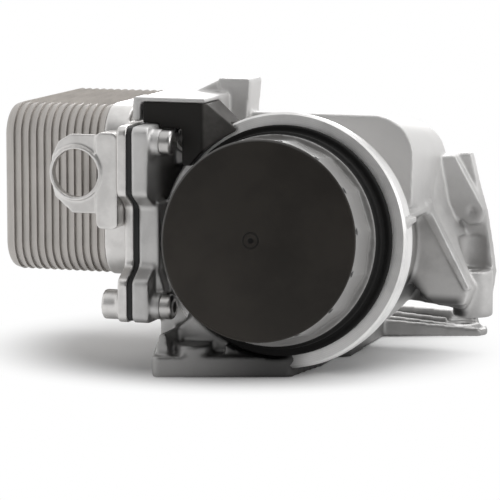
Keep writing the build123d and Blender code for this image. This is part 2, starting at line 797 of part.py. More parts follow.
def filter_cap():
    """The black cap: domed face, wrench flats, neck, flange and hollow spigot."""
    grip_round = make_face([
        ThreePointArc((0, 0, -face_dome), (face_edge_radius / 2, 0, -face_dome * 0.75),
                      (face_edge_radius, 0, 0)),
        Polyline((face_edge_radius, 0, 0), (grip_corner_radius + 0.4, 0, grip_chamfer),
                 (grip_corner_radius + 0.4, 0, grip_length), (0, 0, grip_length), (0, 0, -face_dome)),
    ])
    flats = RegularPolygon(grip_corner_radius, grip_flats, rotation=-grip_turn)
    prism = Pos(0, 0, -face_dome) * extrude(flats, grip_length + face_dome)
    grip = on_axis(revolve(grip_round, Axis.Z) & prism)
    rest = turned(
        (0, grip_length),
        (neck_radius, grip_length),
        (neck_radius, neck_shoulder_depth),
        (neck_shoulder_radius, neck_shoulder_depth),
        (neck_shoulder_radius, cap_flange_front),
        (cap_flange_radius - 0.6, cap_flange_front),
        (cap_flange_radius, cap_flange_front + 0.6),
        (cap_flange_radius, cap_flange_back - 0.6),
        (cap_flange_radius - 0.6, cap_flange_back),
        (cap_land_radius, cap_flange_back),
        (cap_land_radius, seal_groove_front),
        (seal_groove_radius, seal_groove_front),
        (seal_groove_radius, seal_groove_back),
        (cap_land_radius, seal_groove_back),
        (cap_land_radius, cap_land_back),
        (thread_root_radius, cap_land_back + 1.0),
        (thread_root_radius, spigot_end),
        (0, spigot_end),
    )
    hollow = turned(
        (0, cap_wall),
        (grip_hollow_radius - 3.0, cap_wall),
        (grip_hollow_radius, cap_wall + 3.0),
        (grip_hollow_radius, neck_shoulder_depth),
        (thread_root_radius - cap_wall, cap_flange_front),
        (thread_root_radius - cap_wall, spigot_end + 1.0),
        (0, spigot_end + 1.0),
    )
    body = grip + rest - hollow
    notch = Cylinder(corner_notch_radius, corner_notch_depth * 2)
    for number in range(grip_flats):
        angle = number * 360 / grip_flats - grip_turn
        body -= on_axis(Rot(0, 0, angle) * Pos(grip_corner_radius, 0, 0) * notch)
    return body - on_axis(Cylinder(gate_radius, 2 * gate_depth), -face_dome)


def cap_seal():
    """The ring between the cap and the bowl."""
    middle = seal_groove_front + seal_groove_width / 2
    return ring(cap_land_radius - seal_section / 2, seal_section, middle)


# Filter element

def filter_media():
    """The pleated paper as one star-shaped wall."""
    outer = []
    inner = []
    for number in range(pleat_count * 2):
        angle = math.pi * number / pleat_count
        tip = number % 2 == 0
        outer_radius = pleat_tip_radius if tip else pleat_root_radius + paper_thickness
        inner_radius = pleat_tip_radius - 3 * paper_thickness if tip else pleat_root_radius
        outer.append((outer_radius * math.cos(angle), outer_radius * math.sin(angle)))
        inner.append((inner_radius * math.cos(angle), inner_radius * math.sin(angle)))
    section = make_face(Polyline(*outer, close=True)) - make_face(Polyline(*inner, close=True))
    return on_axis(extrude(section, media_length), media_front)


def element_top_cap():
    """The end cap that sits inside the screw cap, with a collar round the standpipe."""
    bore = pipe_radius + running_gap
    collar_front = element_front - element_collar_length
    collar_outside = bore + element_collar_wall
    rim_back = element_front + element_rim_length
    rim_inside = element_rim_radius - element_rim_wall
    return turned(
        (bore, collar_front), (collar_outside, collar_front), (collar_outside, element_front),
        (element_rim_radius, element_front), (element_rim_radius, rim_back), (rim_inside, rim_back),
        (rim_inside, media_front), (bore, media_front),
    )


def element_bottom_cap():
    """The end cap at the bowl's floor, with the drain pin."""
    bore = pipe_radius + running_gap
    disc_radius = pleat_tip_radius + element_disc_rim
    disc = turned((bore, media_back), (disc_radius, media_back), (disc_radius, element_back),
                  (bore, element_back))
    tip = element_back + drain_pin_length
    groove = tip - drain_groove_to_tip
    pin_outline = Polyline(
        (0, 0, element_back - 0.5), (drain_pin_radius, 0, element_back - 0.5),
        (drain_pin_radius, 0, groove - drain_groove_half),
        (drain_groove_radius(), 0, groove - drain_groove_half),
        (drain_groove_radius(), 0, groove + drain_groove_half),
        (drain_pin_radius, 0, groove + drain_groove_half),
        (drain_pin_radius, 0, tip - 1.0), (drain_pin_radius - 1.0, 0, tip), (0, 0, tip), close=True)
    pin = revolve(make_face(pin_outline), Axis.Z)
    return disc + on_axis(Pos(0, drain_pin_offset, 0) * pin)


def drain_groove_radius():
    """The bottom of the groove in the drain pin."""
    return drain_pin_radius - drain_seal_section + running_gap - press_gap


def drain_pin_seal():
    """The small ring on the drain pin."""
    middle = drain_pin_radius + running_gap - drain_seal_section / 2
    small = Torus(middle, drain_seal_section / 2)
    groove = element_back + drain_pin_length - drain_groove_to_tip
    return on_axis(Pos(0, drain_pin_offset, 0) * small, groove)


def element_core():
    """The moulded cage inside the pleats."""
    tube = turned((core_outer_radius - core_wall, media_front), (core_outer_radius, media_front),
                  (core_outer_radius, media_back), (core_outer_radius - core_wall, media_back))
    step = media_length / core_rings
    window = Box(2 * core_outer_radius + 4, core_window_width, step - core_ring_width)
    for row in range(core_rings):
        for turn in range(3):
            tube -= on_axis(Rot(0, 0, 60 * turn) * window, media_front + step * (row + 0.5))
    return tube


# Standpipe and bypass valve

def standpipe():
    """The clean-oil pipe, with the valve seat in its head and windows along its length."""
    inside = pipe_radius - pipe_wall
    ledge_back = pipe_ledge_front + pipe_ledge_length
    pipe = turned(
        (valve_seat_bore, pipe_front),
        (pipe_radius - 0.6, pipe_front),
        (pipe_radius, pipe_front + 0.6),
        (pipe_radius, bowl_floor_depth - pipe_foot_thickness),
        (pipe_foot_radius, bowl_floor_depth - pipe_foot_thickness),
        (pipe_foot_radius, bowl_floor_depth),
        (pipe_radius, bowl_floor_depth),
        (pipe_radius, bowl_floor_depth + pipe_tail),
        (inside, bowl_floor_depth + pipe_tail),
        (inside, ledge_back + 1.0),
        (inside - pipe_ledge, ledge_back),
        (inside - pipe_ledge, pipe_ledge_front),
        (inside, pipe_ledge_front),
        (inside, pipe_front + valve_seat_thickness),
        (valve_seat_bore, pipe_front + valve_seat_thickness),
    )
    window = Box(2 * pipe_radius + 4, pipe_window_width, pipe_window_length)
    first = pipe_ledge_front + pipe_window_first
    for row in range(3):
        for turn in range(2):
            pipe -= on_axis(Rot(0, 0, 90 * turn + 45 * (row % 2)) * window, first + pipe_window_step * row)
    return pipe


def bypass_poppet():
    """The valve disc with its stem."""
    stem_end = spring_front + stem_length
    return turned((0, valve_front), (poppet_radius, valve_front), (poppet_radius, spring_front),
                  (stem_radius, spring_front), (stem_radius, stem_end), (0, stem_end))


def bypass_spring():
    """The spring behind the valve disc."""
    height = spring_length - spring_wire - 2 * press_gap
    line = Helix(height / spring_turns, height, spring_radius)
    start = Plane(origin=line @ 0, z_dir=line % 0)
    coil = sweep(start * Circle(spring_wire / 2), path=line, is_frenet=True)
    return on_axis(coil, spring_front + spring_wire / 2 + press_gap)


def spring_seat():
    """The pressed ring that carries the spring and guides the stem."""
    front = spring_seat_front
    back = front + spring_seat_thickness
    outer = pipe_radius - pipe_wall - press_gap
    return turned((spring_seat_bore, front), (outer, front), (outer, back), (spring_seat_bore, back))


# Cooler

def stack_face(x, widen, corner):
    """A rounded outline of the stack at a place of X."""
    place = Plane(origin=(x, stack_middle_y, stack_middle_z), x_dir=(0, 1, 0), z_dir=(1, 0, 0))
    return place.location * RectangleRounded(stack_depth + 2 * widen, stack_height + 2 * widen, corner + widen)


def dish(x, bend=0.0):
    """A dished plate whose floor is at X and whose rim flares towards the base plate."""
    slope = math.tan(math.radians(plate_flare))
    wall = plate_sheet / math.cos(math.radians(plate_flare))
    floor_in = -plate_rim_depth * slope
    outer = loft([stack_face(x, floor_in, stack_corner_radius),
                  stack_face(x + plate_rim_depth, 0.0, stack_corner_radius)], ruled=True)
    inner = loft([stack_face(x + plate_sheet, floor_in + plate_sheet * slope - wall, stack_corner_radius),
                  stack_face(x + plate_rim_depth + 1.0, slope - wall, stack_corner_radius)], ruled=True)
    if bend:
        outer = fillet(outer.faces().sort_by(Axis.X)[0].edges(), bend)
        inner = fillet(inner.faces().sort_by(Axis.X)[0].edges(), bend - plate_sheet)
    return outer - inner


def plate_x(number):
    """The place of a plate's floor, counted from the base plate."""
    return pad_face - plate_rim_depth - (number - 1) * plate_pitch


def cooler_plate(number):
    """A plate with its four ports. Collars seal two of them from the channel behind."""
    x = plate_x(number)
    plate = dish(x)
    places = port_places()
    sealed = (places[0], places[3]) if number % 2 else (places[1], places[2])
    channel = x + plate_pitch if number > 1 else pad_face
    for y, z in sealed:
        plate += rod_x((x + plate_sheet / 2, channel - press_gap), y, z, port_radius + port_collar_wall)
    for y, z in places:
        plate -= rod_x((x - 1.0, channel + 1.0), y, z, port_radius)
    return plate


def cooler_end_plate():
    """The outermost plate, closed and with a larger bend."""
    return dish(plate_x(plate_count), end_plate_bend)


def cooler_turbulators():
    """The wavy sheets in the channels between the ports."""
    sheets = []
    low = port_low_z + port_radius + port_collar_wall + turbulator_port_gap
    high = port_high_z - port_radius - port_collar_wall - turbulator_port_gap
    for number in range(2, plate_count + 1):
        left = plate_x(number) + plate_sheet + press_gap
        right = plate_x(number - 1) - press_gap
        sheets.append(wavy_sheet(left, right, low, high).solid())
    return Compound(sheets)


def wavy_sheet(left, right, low, high):
    """One folded sheet between two plates, with its folds along Y."""
    step = (high - low) / (2 * turbulator_waves)
    face_points = []
    back_points = []
    for number in range(2 * turbulator_waves + 1):
        z = low + number * step
        near = number % 2 == 0
        face_points.append((left if near else right - turbulator_sheet, z))
        back_points.append((left + turbulator_sheet if near else right, z))
    outline = face_points + back_points[::-1]
    place = Plane(origin=(0, stack_front + turbulator_inset, 0), x_dir=(1, 0, 0), z_dir=(0, -1, 0))
    sheet = place.location * make_face(Polyline(*outline, close=True))
    return extrude(sheet, -(stack_depth - 2 * turbulator_inset))


def cooler_base_plate():
    """The plate under the stack, with its pad, threaded bosses and ports."""
    plate = side_plate((ear_face, base_plate_face), cooler_outline())
    plate += extrude(stack_face(pad_face, base_pad_margin, stack_corner_radius), base_pad_height)
    for y, z in screw_places():
        if (y, z) != (screw_front_y, screw_high_z):
            plate += rod_x((threaded_boss_end, ear_face + 1.0), y, z, threaded_boss_radius)
    for y, z in port_places():
        plate -= rod_x((pad_face - 1.0, base_plate_face + 1.0), y, z, port_radius)
    for y, z in screw_places():
        plate -= rod_x((threaded_boss_end + threaded_boss_floor, base_plate_face + 1.0), y, z,
                       screw_radius + press_gap)
    return plate


def cooler_eye_lug():
    """The rail in front of the pad with the lug and its round eye."""
    rail = front_outline([
        (rail_left, rail_bottom), (rail_left, rail_top), (ear_face, rail_top), (ear_face, rail_bottom),
    ], flange_front + 1.0, rail_back, 2.5)
    flat = front_outline([
        (rail_left + 2.0, lug_bottom), (lug_left + 9.0, lug_bottom), (lug_left + 1.5, lug_bottom + 6.5),
        (lug_left, lug_eye_z - 4.0), (lug_left, lug_eye_z + 6.0), (lug_left + 3.0, lug_top - 3.0),
        (lug_left + 8.0, lug_top), (rail_left + 2.0, lug_top),
    ], flange_front + 1.6, flange_front + 1.6 + lug_thickness, 1.8)
    rim = rod_y(lug_eye_x, (flange_front + 1.6 - lug_rim_height, flange_front + 3.0), lug_eye_z,
                lug_eye_radius + lug_rim_width)
    eye = rod_y(lug_eye_x, (flange_front - 2.0, flange_front + 10.0), lug_eye_z, lug_eye_radius)
    thread = rod_x((threaded_boss_end - 1.0, ear_face + 1.0), screw_front_y, screw_high_z,
                   screw_radius + press_gap)
    return rail + flat + rim - eye - thread


def cooler_gasket():
    """The black gasket, with holes for the ports and the screws."""
    sheet = side_plate((base_plate_face, gasket_face), cooler_outline(gasket_inset))
    for y, z in port_places():
        sheet -= rod_x((base_plate_face - 1.0, gasket_face + 1.0), y, z, port_radius)
    for y, z in screw_places():
        sheet -= rod_x((base_plate_face - 1.0, gasket_face + 1.0), y, z, screw_radius + screw_gap)
    return sheet


def cooler_screws():
    """The four screws, with their round heads on the housing's bosses."""
    screws = []
    for y, z in screw_places():
        shank = rod_x((threaded_boss_end + 2.0, screw_boss_end + 0.5), y, z, screw_radius)
        head = rod_x((screw_boss_end, screw_boss_end + screw_head_height), y, z, screw_head_radius)
        head = fillet(head.faces().sort_by(Axis.X)[-1].edges(), screw_head_rounding)
        socket_floor = screw_boss_end + screw_head_height - screw_socket_depth
        place = Plane(origin=(socket_floor, y, z), x_dir=(0, 1, 0), z_dir=(1, 0, 0))
        hexagon = RegularPolygon(screw_socket_radius, 6)
        socket = extrude(place.location * hexagon, 2 * screw_socket_depth)
        screws.append(shank + head - socket)
    return Compound([solid for screw in screws for solid in screw.solids()])


# Small pieces on the casting

def bracket_outline(inset=0.0):
    """The bracket's outline of X and Z, drawn in by its wall."""
    left = bracket_left + inset
    top = bracket_top - seat_gap - inset
    leg_left = -41.0 + inset
    leg_bottom = 82.0 + inset
    leg_top = 96.8 + inset
    return [
        (left, top), (-31.0 - inset * 0.6, top), (-18.8 - inset * 1.5, 95.6 + inset * 0.4),
        (-33.0 - inset, leg_bottom), (leg_left, leg_bottom), (leg_left, leg_top), (left, leg_top),
    ]


def bracket_wedge(setback):
    """The wedge in front of the bracket's right part, whose face turns away to the right."""
    reach = 20.0
    front = bracket_front + setback
    return plan_outline([
        (bracket_facet_x, front - 2.0), (bracket_facet_x, front),
        (bracket_facet_x + reach, front + reach * bracket_facet_slope), (bracket_facet_x + reach, front - 2.0),
    ], 70.0, 120.0)


def top_bracket():
    """The black bracket: a thin-walled moulding that is open at the back."""
    back = bracket_front + bracket_depth
    outer = front_outline(bracket_outline(), bracket_front, back, 0.8) - bracket_wedge(0.0)
    inner = front_outline(bracket_outline(bracket_wall), bracket_front + bracket_wall, back + 1.0)
    body = outer - (inner - bracket_wedge(bracket_wall))
    clear_of_cap = cap_way_radius + 0.4
    clear_of_collar = collar_radius + 0.6
    body -= turned((0, -80.0), (clear_of_cap, -80.0), (clear_of_cap, rim_depth - 1.0),
                   (clear_of_collar, rim_depth - 1.0), (clear_of_collar, collar_end + 20.0),
                   (0, collar_end + 20.0))
    over_flange = flange_top + running_gap
    beside_flange = (bracket_left - 6.0, flange_inner_face + running_gap)
    return body - block(beside_flange, (bracket_front - 1.0, 60.0), (80.0, over_flange))


def gallery_plug():
    """The cup plug that closes the coolant drilling."""
    back = plug_face_y + plug_length
    cup = rod_y(drilling_x, (plug_face_y, back), port_high_z, plug_radius)
    return cup - rod_y(drilling_x, (plug_face_y - 1.0, back - plug_wall), port_high_z, plug_radius - plug_wall)


def all_pieces():
    """Every piece by the name of its file."""
    pieces = {
        "filter_housing": filter_housing(),
        "filter_cap": filter_cap(),
        "cap_seal": cap_seal(),
        "filter_media": filter_media(),
        "element_top_cap": element_top_cap(),
        "element_bottom_cap": element_bottom_cap(),
        "element_core": element_core(),
        "drain_pin_seal": drain_pin_seal(),
        "standpipe": standpipe(),
        "bypass_poppet": bypass_poppet(),
        "bypass_spring": bypass_spring(),
        "spring_seat": spring_seat(),
        "cooler_end_plate": cooler_end_plate(),
        "cooler_turbulators": cooler_turbulators(),
        "cooler_base_plate": cooler_base_plate(),
        "cooler_eye_lug": cooler_eye_lug(),
        "cooler_gasket": cooler_gasket(),
        "cooler_screws": cooler_screws(),
        "top_bracket": top_bracket(),
        "gallery_plug": gallery_plug(),
        "base_gasket": base_seal(),
    }
    for number in range(1, plate_count):
        pieces[f"cooler_plate_{number:02d}"] = cooler_plate(number)
    return pieces


def main():
    """Build the pieces, move the origin under the middle of the part and write the files."""
    pieces = all_pieces()
    box = Compound([solid for shape in pieces.values() for solid in shape.solids()]).bounding_box()
    middle = Vector((box.min.X + box.max.X) / 2, (box.min.Y + box.max.Y) / 2, box.min.Z)
    os.makedirs("parts", exist_ok=True)
    for name, shape in pieces.items():
        moved = Compound(shape.solids()).moved(Location((-middle.X, -middle.Y, -middle.Z)))
        export_step(moved, f"parts/{name}.step")
    print("origin at", middle)
    print("size", box.size)


main()
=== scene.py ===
"""Looks of the engine oil cooler: the finish of every piece, and the pieces that the finish needs.

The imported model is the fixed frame, and lengths are metres in it. +X runs from the cooler stack to the side
boss, +Y back from the screw cap, and +Z up. Places on the filter are given as a depth behind the cap's face
and a distance from the filter axis.
"""

from __future__ import annotations

import json
import logging
import math
from dataclasses import dataclass
from enum import Enum

import bmesh
import bpy
from mathutils import Matrix, Vector


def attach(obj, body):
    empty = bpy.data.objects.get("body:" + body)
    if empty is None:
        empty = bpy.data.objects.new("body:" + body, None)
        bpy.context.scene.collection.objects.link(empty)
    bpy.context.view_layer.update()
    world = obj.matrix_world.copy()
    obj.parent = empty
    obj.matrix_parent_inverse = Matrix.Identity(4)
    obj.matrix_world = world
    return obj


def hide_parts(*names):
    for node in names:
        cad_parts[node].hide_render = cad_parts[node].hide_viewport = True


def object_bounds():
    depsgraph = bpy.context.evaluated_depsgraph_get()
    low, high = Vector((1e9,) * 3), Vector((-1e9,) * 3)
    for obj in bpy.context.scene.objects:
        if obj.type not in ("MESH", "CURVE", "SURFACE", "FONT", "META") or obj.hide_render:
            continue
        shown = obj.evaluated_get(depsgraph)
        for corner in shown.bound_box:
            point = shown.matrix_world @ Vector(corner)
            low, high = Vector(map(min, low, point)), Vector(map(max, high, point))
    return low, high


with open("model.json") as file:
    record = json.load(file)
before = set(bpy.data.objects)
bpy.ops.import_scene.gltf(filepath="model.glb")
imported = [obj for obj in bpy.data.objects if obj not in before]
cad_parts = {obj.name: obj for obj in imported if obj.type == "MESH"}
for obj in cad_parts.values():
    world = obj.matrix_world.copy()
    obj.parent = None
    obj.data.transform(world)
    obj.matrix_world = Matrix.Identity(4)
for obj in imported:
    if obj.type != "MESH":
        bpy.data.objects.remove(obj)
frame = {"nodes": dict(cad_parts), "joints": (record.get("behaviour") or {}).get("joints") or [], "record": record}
CAD_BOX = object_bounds()

LOG = logging.getLogger("oil_cooler")
MM = 0.001

Pair = tuple[float, float]
Triple = tuple[float, float, float]
Colour = tuple[float, float, float, float]

WHITE: Colour = (1.0, 1.0, 1.0, 1.0)

# A Mix node holds sockets for numbers, vectors and colours. These are its factor, colours and result.
MIX_FACTOR, MIX_FIRST, MIX_SECOND = 0, 6, 7
MIX_RESULT = 2


class Body(Enum):
    """The bodies of the model that pieces ride on."""

    HOUSING = "housing"
    CAP = "cap"


class Slot(Enum):
    """The material slots of the record."""

    CAST = "cast_aluminium"
    PLATE = "plate_aluminium"
    BASE = "base_aluminium"
    BLACK = "black_plastic"
    MOULDED = "element_plastic"
    RUBBER = "seal_rubber"
    PAPER = "filter_paper"
    STEEL = "bright_steel"


class OwnFinish(Enum):
    """The finishes that belong to one piece, and not to a whole slot."""

    CAP = "cap_plastic"
    COLLAR = "machined_aluminium"
    BRACKET = "bracket_plastic"


class Sum(Enum):
    """The sums that a Math node does."""

    ADD = "ADD"
    SUBTRACT = "SUBTRACT"
    MULTIPLY = "MULTIPLY"
    DIVIDE = "DIVIDE"
    LARGER = "MAXIMUM"
    SINE = "SINE"
    ANGLE = "ARCTAN2"
    ROOT = "SQRT"


@dataclass(frozen=True)
class Ramp:
    """A soft step from 0 to 1: where it starts and how far it takes."""

    start: float
    width: float


@dataclass(frozen=True)
class Band:
    """A stretch between two values, with soft ends that lie inside it."""

    low: float
    high: float
    soft: float


@dataclass(frozen=True)
class Pattern:
    """Fractal noise: features for each metre, octaves, strength of the finer ones, and stretch."""

    scale: float
    octaves: float = 4.0
    rough: float = 0.55
    stretch: Triple | None = None


@dataclass(frozen=True)
class Relief:
    """A bump: how deep it is and how much of it shows."""

    depth: float
    strength: float


MOULD_GRAIN = Pattern(1600.0, 3.0, 0.6)
MOULD_CLOUDS = Pattern(40.0, 4.0, 0.55)
STAIN_RAMP = Ramp(0.35, 0.3)
PATCH_RAMP = Ramp(0.3, 0.4)
FINE_RELIEF = Relief(0.03 * MM, 0.5)


@dataclass(frozen=True)
class FilterAxis:
    """The tilted axis of the filter bowl, from the middle of the cap's face outwards."""

    origin: Vector
    outward: Vector

    @classmethod
    def from_frame(cls) -> FilterAxis:
        """The axis of the joint that turns the cap."""
        joint = next(item for item in frame["joints"] if item["name"] == "cap_turn")
        return cls(Vector(joint["pos_m"]), Vector(joint["axis"]).normalized())

    def point(self, depth: float, radius: float) -> Vector:
        """The point at a depth behind the cap's face and a distance from the axis towards +X."""
        return self.origin - self.outward * depth + Vector((radius, 0.0, 0.0))

    def seen_from(self, shader: Shader) -> tuple[Field, Field, Field, Field]:
        """The place on the object, seen from the axis.

        Args:
            shader: the shader that needs it.

        Returns:
            How far it lies right of the cap's middle, behind it and above it, and its depth along the axis.
        """
        x, y, z = shader.parts(shader.place())
        across, behind, rise = x - self.origin.x, y - self.origin.y, z - self.origin.z
        depth = behind * -self.outward.y + rise * -self.outward.z
        return across, behind, rise, depth


class Field:
    """An output socket that can be used in sums."""

    def __init__(self, tree: NodeTree, socket: bpy.types.NodeSocket) -> None:
        """Keep the socket and the tree that it belongs to."""
        self.tree = tree
        self.socket = socket

    def _sum(self, kind: Sum, *values: Field | float) -> Field:
        """The result of a Math node."""
        return self.tree.field("ShaderNodeMath", {"operation": kind.value}, dict(enumerate(values)))

    def __add__(self, other: Field | float) -> Field:
        """This value and another."""
        return self._sum(Sum.ADD, self, other)

    def __sub__(self, other: Field | float) -> Field:
        """This value less another."""
        return self._sum(Sum.SUBTRACT, self, other)

    def __rsub__(self, other: float) -> Field:
        """A number less this value."""
        return self._sum(Sum.SUBTRACT, other, self)

    def __mul__(self, other: Field | float) -> Field:
        """This value times another."""
        return self._sum(Sum.MULTIPLY, self, other)

    def __truediv__(self, other: Field | float) -> Field:
        """This value over another."""
        return self._sum(Sum.DIVIDE, self, other)

    def __rtruediv__(self, other: float) -> Field:
        """A number over this value."""
        return self._sum(Sum.DIVIDE, other, self)

    __radd__ = __add__
    __rmul__ = __mul__

    def above(self, ramp: Ramp) -> Field:
        """The part of the object past a soft step.

        Args:
            ramp: the step.

        Returns:
            0 up to the ramp's start, 1 past its width.
        """
        settings = {"clamp": True, "interpolation_type": "SMOOTHSTEP"}
        inputs = {"Value": self, "From Min": ramp.start, "From Max": ramp.start + ramp.width}
        return self.tree.field("ShaderNodeMapRange", settings, inputs)

    def below(self, ramp: Ramp) -> Field:
        """1 up to the ramp's start, 0 past its width."""
        return 1 - self.above(ramp)

    def inside(self, band: Band) -> Field:
        """1 between the band's ends, 0 outside."""
        return self.above(Ramp(band.low, band.soft)) * self.below(Ramp(band.high - band.soft, band.soft))

    def either(self, other: Field) -> Field:
        """The larger of two values."""
        return self._sum(Sum.LARGER, self, other)

    def sine(self) -> Field:
        """The sine of this value."""
        return self._sum(Sum.SINE, self)

    def waves(self, pitch: float) -> Field:
        """Waves between 0 and 1 along this value."""
        return (self * (2 * math.pi / pitch)).sine() * 0.5 + 0.5

    def angle(self, across: Field) -> Field:
        """The angle of a point whose height is this value, in radians."""
        return self._sum(Sum.ANGLE, self, across)

    def distance(self, other: Field) -> Field:
        """The distance of a point whose coordinates are these two values."""
        return self._sum(Sum.ROOT, self * self + other * other)


class NodeTree:
    """A node tree that is built from fields."""

    def __init__(self, tree: bpy.types.NodeTree) -> None:
        """Take the tree of a material or of the world, and empty it."""
        self.tree = tree
        self.tree.nodes.clear()

    def node(self, kind: str, settings: dict, inputs: dict) -> bpy.types.Node:
        """Add a node.

        Args:
            kind: the node's type.
            settings: its properties, which are set first.
            inputs: values or fields by socket name or number.

        Returns:
            The node.
        """
        made = self.tree.nodes.new(kind)
        for key, value in settings.items():
            setattr(made, key, value)
        for key, value in inputs.items():
            if isinstance(value, Field):
                self.tree.links.new(value.socket, made.inputs[key])
            else:
                made.inputs[key].default_value = value
        return made

    def field(self, kind: str, settings: dict, inputs: dict, output: int | str = 0) -> Field:
        """Add a node, and take the output with that number or name."""
        return Field(self, self.node(kind, settings, inputs).outputs[output])

    def blend(self, factor: Field, first: Field, second: Field) -> Field:
        """A surface or light between two others."""
        return self.field("ShaderNodeMixShader", {}, dict(enumerate((factor, first, second))))

    def seen(self) -> Field:
        """What is seen directly, mirrored or through glass, apart from light on the part.

        Returns:
            1 for what is seen, 0 for the light.
        """
        rays = self.node("ShaderNodeLightPath", {}, {}).outputs
        direct, mirrored = Field(self, rays["Is Camera Ray"]), Field(self, rays["Is Glossy Ray"])
        through = Field(self, rays["Is Transmission Ray"])
        return direct.either(mirrored).either(through)


class Shader(NodeTree):
    """A material's node tree with one Principled shader."""

    def __init__(self, name: str, **constants: float | Colour) -> None:
        """Make the material.

        Args:
            name: the material's name.
            constants: values of the shader's own sockets, with underscores for spaces.
        """
        self.material = bpy.data.materials.new(name)
        self.material.use_nodes = True
        super().__init__(self.material.node_tree)
        inputs = {key.replace("_", " "): value for key, value in constants.items()}
        self.surface = self.node("ShaderNodeBsdfPrincipled", {}, inputs)
        self.plain = Field(self, self.surface.outputs[0])
        self.output = self.node("ShaderNodeOutputMaterial", {}, {"Surface": self.plain})

    def place(self) -> Field:
        """The place on the object."""
        return self.field("ShaderNodeTexCoord", {}, {}, "Object")

    def parts(self, vector: Field) -> tuple[Field, Field, Field]:
        """The X, Y and Z of a vector."""
        split = self.node("ShaderNodeSeparateXYZ", {}, {"Vector": vector}).outputs
        return Field(self, split["X"]), Field(self, split["Y"]), Field(self, split["Z"])

    def noise(self, place: Field, pattern: Pattern) -> Field:
        """Fractal noise.

        Args:
            place: the coordinates.
            pattern: its scale, octaves and stretch.

        Returns:
            Values about 0.5.
        """
        if pattern.stretch is not None:
            place = self.field("ShaderNodeMapping", {}, {"Vector": place, "Scale": pattern.stretch})
        inputs = {"Vector": place, "Scale": pattern.scale, "Detail": pattern.octaves,
                  "Roughness": pattern.rough}
        return self.field("ShaderNodeTexNoise", {}, inputs)

    def mix(self, factor: Field, first: Field | Colour, second: Field | Colour) -> Field:
        """A colour between two colours."""
        inputs = {MIX_FACTOR: factor, MIX_FIRST: first, MIX_SECOND: second}
        return self.field("ShaderNodeMix", {"data_type": "RGBA"}, inputs, MIX_RESULT)

    def greys(self, factor: Field, first: float, second: float, warm: float) -> Field:
        """A grey between two levels."""
        return self.mix(factor, grey(first, warm), grey(second, warm))

    def bump(self, height: Field, relief: Relief, under: Field | None = None) -> Field:
        """A bump.

        Args:
            height: its height, 0 to 1.
            relief: what 1 stands for, and how much of it shows.
            under: the normal of another bump, which this one lies on.

        Returns:
            The normal.
        """
        inputs: dict = {"Strength": relief.strength, "Distance": relief.depth, "Height": height}
        if under is not None:
            inputs["Normal"] = under
        return self.field("ShaderNodeBump", {}, inputs)

    def white_for_eyes(self, factor: Field) -> None:
        """Turn the surface to plain white for what is seen directly or mirrored.

        Args:
            factor: 0 keeps the surface, 1 makes it white.
        """
        white = self.field("ShaderNodeEmission", {}, {"Color": WHITE, "Strength": 1.0})
        mixed = self.blend(self.seen() * factor, self.plain, white)
        self.tree.links.new(mixed.socket, self.output.inputs["Surface"])

    def feed(self, **fields: Field) -> bpy.types.Material:
        """Link fields to the shader's sockets.

        Args:
            fields: fields by socket name, with underscores for spaces.

        Returns:
            The material.
        """
        for key, value in fields.items():
            self.tree.links.new(value.socket, self.surface.inputs[key.replace("_", " ")])
        return self.material


def grey(level: float, warm: float = 0.0) -> Colour:
    """A grey colour.

    Args:
        level: the linear level.
        warm: how much more red and less blue it has.

    Returns:
        The colour with alpha.
    """
    return (level * (1 + warm), level, level * (1 - warm), 1.0)


